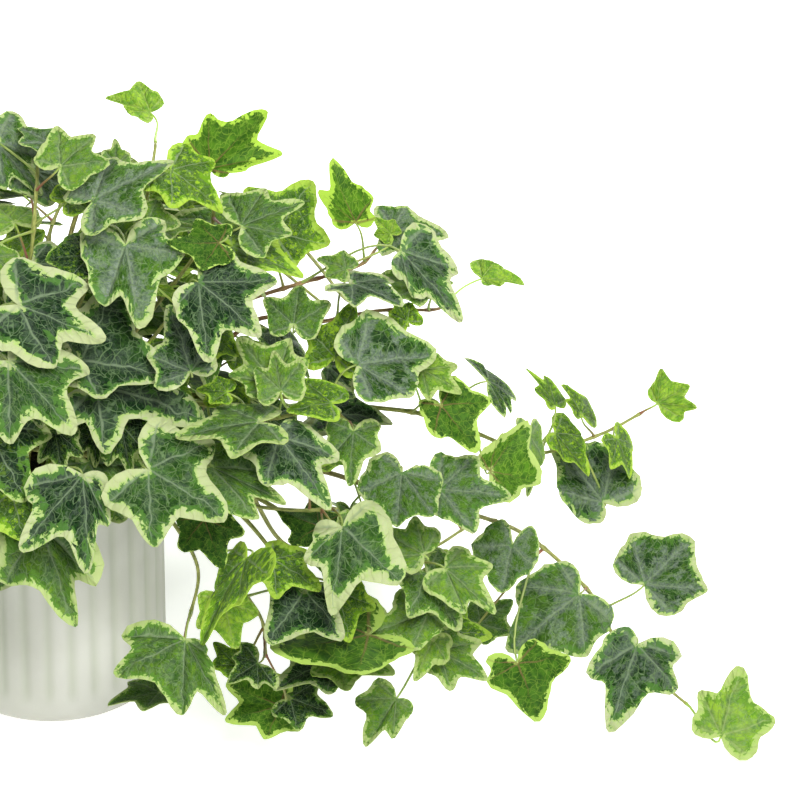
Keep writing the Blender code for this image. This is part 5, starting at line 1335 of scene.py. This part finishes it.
def leaf_top():
    build = Nodes("ivy leaf upper side", 0.38)
    at, rim, grey, young, margin, light, sunny = leaf_inputs(build)
    main, fine, net, bent, beside, away, step = vein_lines(build, at)
    x, y, seed = build.split(at)

    # The green between the veins, and the grey that spreads from them
    mottle = build.ramp(build.noise(at, 34.0, 3.0, 0.7), 0.35, 0.65)
    clouds = build.noise(at, 5.0, 3.0, 0.6)
    cell = build.patches(bent, NET_SCALE)
    tone = light + (clouds - 0.5) * 0.9 + cell * 0.35
    deep, lit = build.mix(mottle, *DEEP_GREEN), build.mix(mottle, *LIT_GREEN)
    body = build.mix(build.ramp(tone, -0.1, 1.1), deep, lit)
    body = build.mix(young, body, build.mix(build.ramp(clouds, 0.35, 0.65), *YOUNG_GREEN))
    turned = build.node("CombineXYZ", {"X": build.math("ARCTAN2", y, x), "Y": away * 1.3, "Z": seed})
    halo = build.ramp(beside - build.noise(turned, 7.0) * 0.16, -0.08, 0.03, 1.0, 0.0)
    smoke = build.ramp(build.noise(at, 6.5, 4.0, 0.65), 0.50, 0.60, 0.0, 0.75)
    ash = build.math("MAXIMUM", halo, smoke) * (grey * 0.85)
    body = build.mix(ash, body, build.mix(mottle, *GREY_GREEN))
    flecks = build.ramp(build.noise(at, 11.0, 4.0, 0.75) + cell * 0.10, 0.53, 0.62)
    body = build.mix(flecks * (sunny * 0.8), body, FLECK)
    lines = build.mix(build.math("MAXIMUM", young, light * 0.4), *VEIN_LINES)
    body = build.mix(net * 0.55, body, lines)
    body = build.mix(fine * 0.74, body, lines)

    # The pale margin with its ragged inner edge, and the half-pale cells beside it
    inner = rim + (build.noise(at, 15.0, 5.0, 0.72) - 0.5) * 0.11
    inner = inner + build.patches(bent, MARGIN_CELLS) * 0.060 + fine * 0.020
    width = margin * build.ramp(build.noise(at, 2.8, 1.0), 0.32, 0.68, 0.40, 1.55)
    inside = build.ramp(inner, width - 0.003, width + 0.003)
    bands = build.noise(at, 8.0)
    pale = build.mix(sunny, build.mix(bands, *CREAM), build.mix(bands, *YELLOW))
    between = build.ramp(inner + cell * 0.09, width + 0.020, width + 0.050, 0.75, 0.0)
    body = build.mix(between, body, build.mix(sunny, *HALF_PALE))
    pale = build.mix(build.ramp(inner, width - 0.040, width, 0.0, 0.60), pale, PALE_GREEN)
    colour = build.mix(inside, pale, body)
    shown = main * build.ramp(rim, 0.01, 0.12, 0.05, 0.74)
    colour = build.mix(shown, colour, build.mix(young, *VEIN_CORES))

    # Sunken veins, with the blade puffed up between them
    relief = build.ramp(beside, 0.0, 0.06, 0.0, 1.2) + fine * -0.4
    relief = relief + net * build.ramp(inside, 0.0, 1.0, -0.12, -0.50) + mottle * 0.15
    relief = relief + build.ramp(step, 0.0, 0.055, 0.0, 0.55) + build.ramp(beside, 0.0, 0.20, 0.0, 1.6)
    rough = build.ramp(build.noise(at, 10.0), 0.3, 0.7, 0.34, 0.50)
    return build.finish(colour, relief, 0.8, 0.0008, Roughness=rough, Specular_IOR_Level=0.045, **LEAF_FLESH)


def leaf_under():
    build = Nodes("ivy leaf underside", 0.55)
    at, rim, _, young, margin, light, sunny = leaf_inputs(build)
    main, fine, net, bent, _, away, _ = vein_lines(build, at)
    clouds = build.ramp(build.noise(at, 9.0, 3.0), 0.35, 0.65)
    body = build.mix(light + young * 0.6, build.mix(clouds, *DEEP_UNDER), build.mix(clouds, *LIT_UNDER))
    lines = build.mix(build.math("MAXIMUM", light, young), *UNDER_LINES)
    body = build.mix(net * 0.60, body, lines)
    body = build.mix(fine * 0.5, body, lines)
    inner = rim + (build.noise(at, 12.0, 5.0, 0.72) - 0.5) * 0.10 + build.patches(bent, MARGIN_CELLS) * 0.05
    width = margin * build.ramp(build.noise(at, 2.8, 1.0), 0.32, 0.68, 0.50, 1.90)
    inside = build.ramp(inner, width - 0.005, width + 0.005)
    colour = build.mix(inside, build.mix(sunny, *UNDER_MARGIN), body)
    colour = build.mix(main * build.ramp(away, 0.10, 0.65, 0.70, 0.10), colour, UNDER_CORE)
    relief = main + fine * 0.5 + net * 0.4
    return build.finish(colour, relief, 0.6, 0.0004, Specular_IOR_Level=0.08, **LEAF_FLESH)


def bark():
    build = Nodes("ivy stem", 0.6)
    at = build.attribute("at")
    red, young, _ = build.split(build.attribute("look"))
    streaks = build.noise(build.vector("MULTIPLY", at, (14.0, 14.0, 2.2)), 1.0, 3.0, 0.6)
    grain = build.ramp(streaks, 0.35, 0.65)
    old = build.mix(red, build.mix(grain, *BROWN_BARK), build.mix(grain, *RED_BARK))
    colour = build.mix(build.ramp(young + streaks * 0.3, 0.35, 0.95), old, build.mix(grain, *FRESH_BARK))
    dots = build.cells(build.vector("MULTIPLY", at, (9.0, 9.0, 4.0)), 1.0, "F1")
    pores = build.ramp(dots, 0.10, 0.22, 1.0, 0.0)
    colour = build.mix(pores * 0.5, colour, PORES)
    return build.finish(colour, streaks + pores * 0.4, 0.5, 0.0004)


def stalk_skin():
    build = Nodes("ivy leaf stalk", 0.5)
    red, young, _ = build.split(build.attribute("look"))
    streaks = build.noise(build.vector("MULTIPLY", build.attribute("at"), (20.0, 20.0, 1.6)), 1.0)
    green = build.mix(build.ramp(streaks, 0.35, 0.65), *STALK_GREEN)
    green = build.mix(young, green, YOUNG_STALK)
    colour = build.mix(build.ramp(red + streaks * 0.35, 0.45, 1.05), green, RED_STALK)
    return build.finish(colour, streaks, 0.4, 0.0003)


def glaze():
    build = Nodes("pot, matt warm white", 0.6)
    place = build.place()
    broad, patchy = build.noise(place, 22.0, 3.0), build.noise(place, 60.0)
    specks = build.ramp(build.cells(place, 420.0, "F1"), 0.03, 0.10, 1.0, 0.0)
    colour = build.mix(build.ramp(broad, 0.3, 0.7), *GLAZE)
    colour = build.mix(specks * 0.25, colour, SPECKS)
    # Painted shade, tinged green, deepest where the flutes' grooves are deepest
    colour = build.mix(build.attribute("rim", "Fac") * 0.55, colour, GROOVE_SHADE)
    # Darker in patches towards the bottom of the foot
    low = build.ramp(build.split(place)[2], 0.0, 0.012, 0.35, 0.0)
    colour = build.mix(low * patchy, colour, FOOT_DARKENING)
    rough = build.ramp(patchy, 0.3, 0.7, 0.5, 0.68)
    relief = build.noise(place, 900.0) * 0.4 + broad * 0.8
    return build.finish(colour, relief, 0.35, 0.0006, Roughness=rough)


def potting_mix():
    build = Nodes("potting mix", 0.95)
    place = build.place()
    tint = build.noise(place, 240.0, 3.0)
    colour = build.mix(build.ramp(tint, 0.35, 0.65), *HUMUS)
    fibres = build.ramp(build.noise(build.vector("MULTIPLY", place, (1.0, 0.25, 1.0)), 500.0), 0.66, 0.72)
    colour = build.mix(fibres * 0.6, colour, FIBRES)
    return build.finish(colour, build.cells(place, 380.0, "F1") + tint, 0.9, 0.0015)


def floor_finish():
    build = Nodes("pale floor", 0.75)
    place = build.place()
    colour = build.mix(build.noise(place, 3.0), *FLOOR_TONES)
    return build.finish(colour, build.noise(place, 260.0), 0.05, 0.0003, Emission_Color=(1.0, 1.0, 1.0),
                        Emission_Strength=FLOOR_GLOW)


def turned_faces(total, sides):
    """Faces of a turned solid: quads between its rings, and one face to close each end."""
    faces = []
    for first in range(0, total - sides, sides):
        for k in range(sides):
            a, b = first + k, first + (k + 1) % sides
            faces.append((a, b, b + sides, a + sides))
    return faces + [tuple(range(sides - 1, -1, -1)), tuple(range(total - sides, total))]


def fine_pot(finish):
    """The fluted pot: soft grooves that fade out above a rounded foot, and a rounded rim."""
    inner, roll = POT_RADIUS - POT_WALL, POT_WALL / 2
    profile = [(AXIS, FOOT_HOLLOW, 0.0), (FOOT_RADIUS - 8, FOOT_HOLLOW, 0.0), (FOOT_RADIUS - 5, 0.0, 0.0),
               (FOOT_RADIUS, 0.0, 0.0)]
    for i in range(1, FOOT_STEPS + 1):
        turn = math.pi / 2 * i / FOOT_STEPS
        height = FOOT_ROUNDING * (1 - math.cos(turn))
        profile.append((FOOT_RADIUS + FOOT_ROUNDING * math.sin(turn), height, 0.0))
    for height in STRAIGHT_HEIGHTS:
        fade = min(1.0, max(0.0, (height - FLUTE_FADE[0]) / FLUTE_FADE[1]))
        fade *= min(1.0, max(0.0, (POT_HEIGHT - 1.0 - height) / FLUTE_FADE[2]))
        profile.append((POT_RADIUS, height, fade * fade * (3 - 2 * fade)))
    for i in range(FOOT_STEPS + 1):
        turn = math.pi * i / FOOT_STEPS
        height = POT_HEIGHT - roll + roll * math.sin(turn)
        profile.append((POT_RADIUS - roll + roll * math.cos(turn), height, 0.0))
    profile += [(inner, 148.0, 0.0), (inner, 120.0, 0.0), (inner, POT_FLOOR + 3, 0.0)]
    profile += [(inner - 3, POT_FLOOR, 0.0), (AXIS, POT_FLOOR, 0.0)]
    points, hollows = [], []
    for radius, height, dent in profile:
        for k in range(POT_ROUND):
            groove = (abs((k * FLUTES / POT_ROUND + 0.5) % 1.0 - 0.5) * 2)**FLUTE_SHAPE
            hollows.append(dent * groove * groove * (3 - 2 * groove))
            points.append(about_axis(2 * math.pi * k / POT_ROUND, radius - FLUTE_DEPTH * hollows[-1], height))
    piece = Piece()
    piece.add(points, turned_faces(len(points), POT_ROUND), 0, rim=hollows)
    made = piece.build("flower_pot", [finish], "pot", 40.0)
    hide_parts("pot")


def fine_soil(finish):
    """Crumbly potting mix, lower by the wall and heaped a little in the middle."""
    reach = POT_RADIUS - POT_WALL - GAP * 2
    rng = random.Random(SOIL_SEED)
    points = [about_axis(2 * math.pi * k / SOIL_ROUND, reach, POT_FLOOR + 3 * GAP) for k in range(SOIL_ROUND)]
    for i in range(SOIL_STEPS):
        radius = reach * (1 - 0.94 * i / SOIL_STEPS)
        height = SOIL_TOP - SOIL_CROWN * (i < 2) / (i + 1)
        for k in range(SOIL_ROUND):
            spot = about_axis(2 * math.pi * k / SOIL_ROUND, radius, height)
            spot.z += 1.6 * noise.noise(spot * 0.09) + 1.1 * noise.noise(spot * 0.35) - 0.8
            points.append(spot)
    piece = Piece()
    piece.add(points, turned_faces(len(points), SOIL_ROUND), 0)
    for _ in range(CRUMBS):
        angle, radius = rng.uniform(0, 2 * math.pi), (reach - 4) * math.sqrt(rng.random())
        middle = about_axis(angle, radius, SOIL_TOP - rng.uniform(0.2, 1.2))
        size = rng.uniform(0.8, 2.2)
        corners = [middle + Vector(axis) * size * rng.uniform(0.6, 1.1) for axis in CRUMB_AXES]
        piece.add(corners, CRUMB_FACES, 0)
    made = piece.build("potting_mix", [finish], "soil", 60.0)
    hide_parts("soil")


def placed(name, data):
    made = bpy.data.objects.new(name, data)
    bpy.context.scene.collection.objects.link(made)
    return made


def camera():
    """The photograph's far, downward view, framed as it is."""
    made = placed("camera", bpy.data.cameras.new("camera"))
    made.data.sensor_width = SENSOR
    made.data.lens = SENSOR * VIEW_DISTANCE / PHOTO_WIDTH
    made.data.clip_end = 50.0
    made.location = (ACROSS * VIEW_CENTRE[0] + RISING * VIEW_CENTRE[1] + TOWARDS * VIEW_DISTANCE) * MM
    made.rotation_euler = (math.pi / 2 - VIEW_PITCH, 0.0, 0.0)
    bpy.context.scene.camera = made


def studio():
    bpy.context.scene.view_settings.view_transform = "Standard"
    world = bpy.data.worlds.new("studio")
    bpy.context.scene.world = world
    world.use_nodes = True
    world.node_tree.nodes["Background"].inputs["Color"].default_value = (1.0, 1.0, 1.0, 1.0)
    world.node_tree.nodes["Background"].inputs["Strength"].default_value = WORLD_LIGHT
    for name, (place, size, power) in LIGHTS.items():
        lamp = bpy.data.lights.new(name, "AREA")
        lamp.energy, lamp.size = power, size
        made = placed(name, lamp)
        made.location = place
        made.rotation_euler = (Vector(LIGHTS_AIM) - Vector(place)).to_track_quat("-Z", "Y").to_euler()
    ground = bpy.data.meshes.new("floor")
    corners = [(x * FLOOR_HALF, y * FLOOR_HALF, 0) for x, y in ((-1, -1), (1, -1), (1, 1), (-1, 1))]
    ground.from_pydata(corners, [], [(0, 1, 2, 3)])
    ground.materials.append(floor_finish())
    placed("floor", ground)


def main():
    plant = grow_plant()
    finishes = [leaf_top(), leaf_under(), bark(), stalk_skin()]
    stems = zip(plant.stems, plant.leaves, leaf_looks(plant))
    for number, (stem, leaves, looks) in enumerate(stems, 1):
        add_vine(number, stem, leaves, looks, finishes)
    fine_pot(glaze())
    fine_soil(potting_mix())
    camera()
    studio()
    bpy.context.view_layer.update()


main()
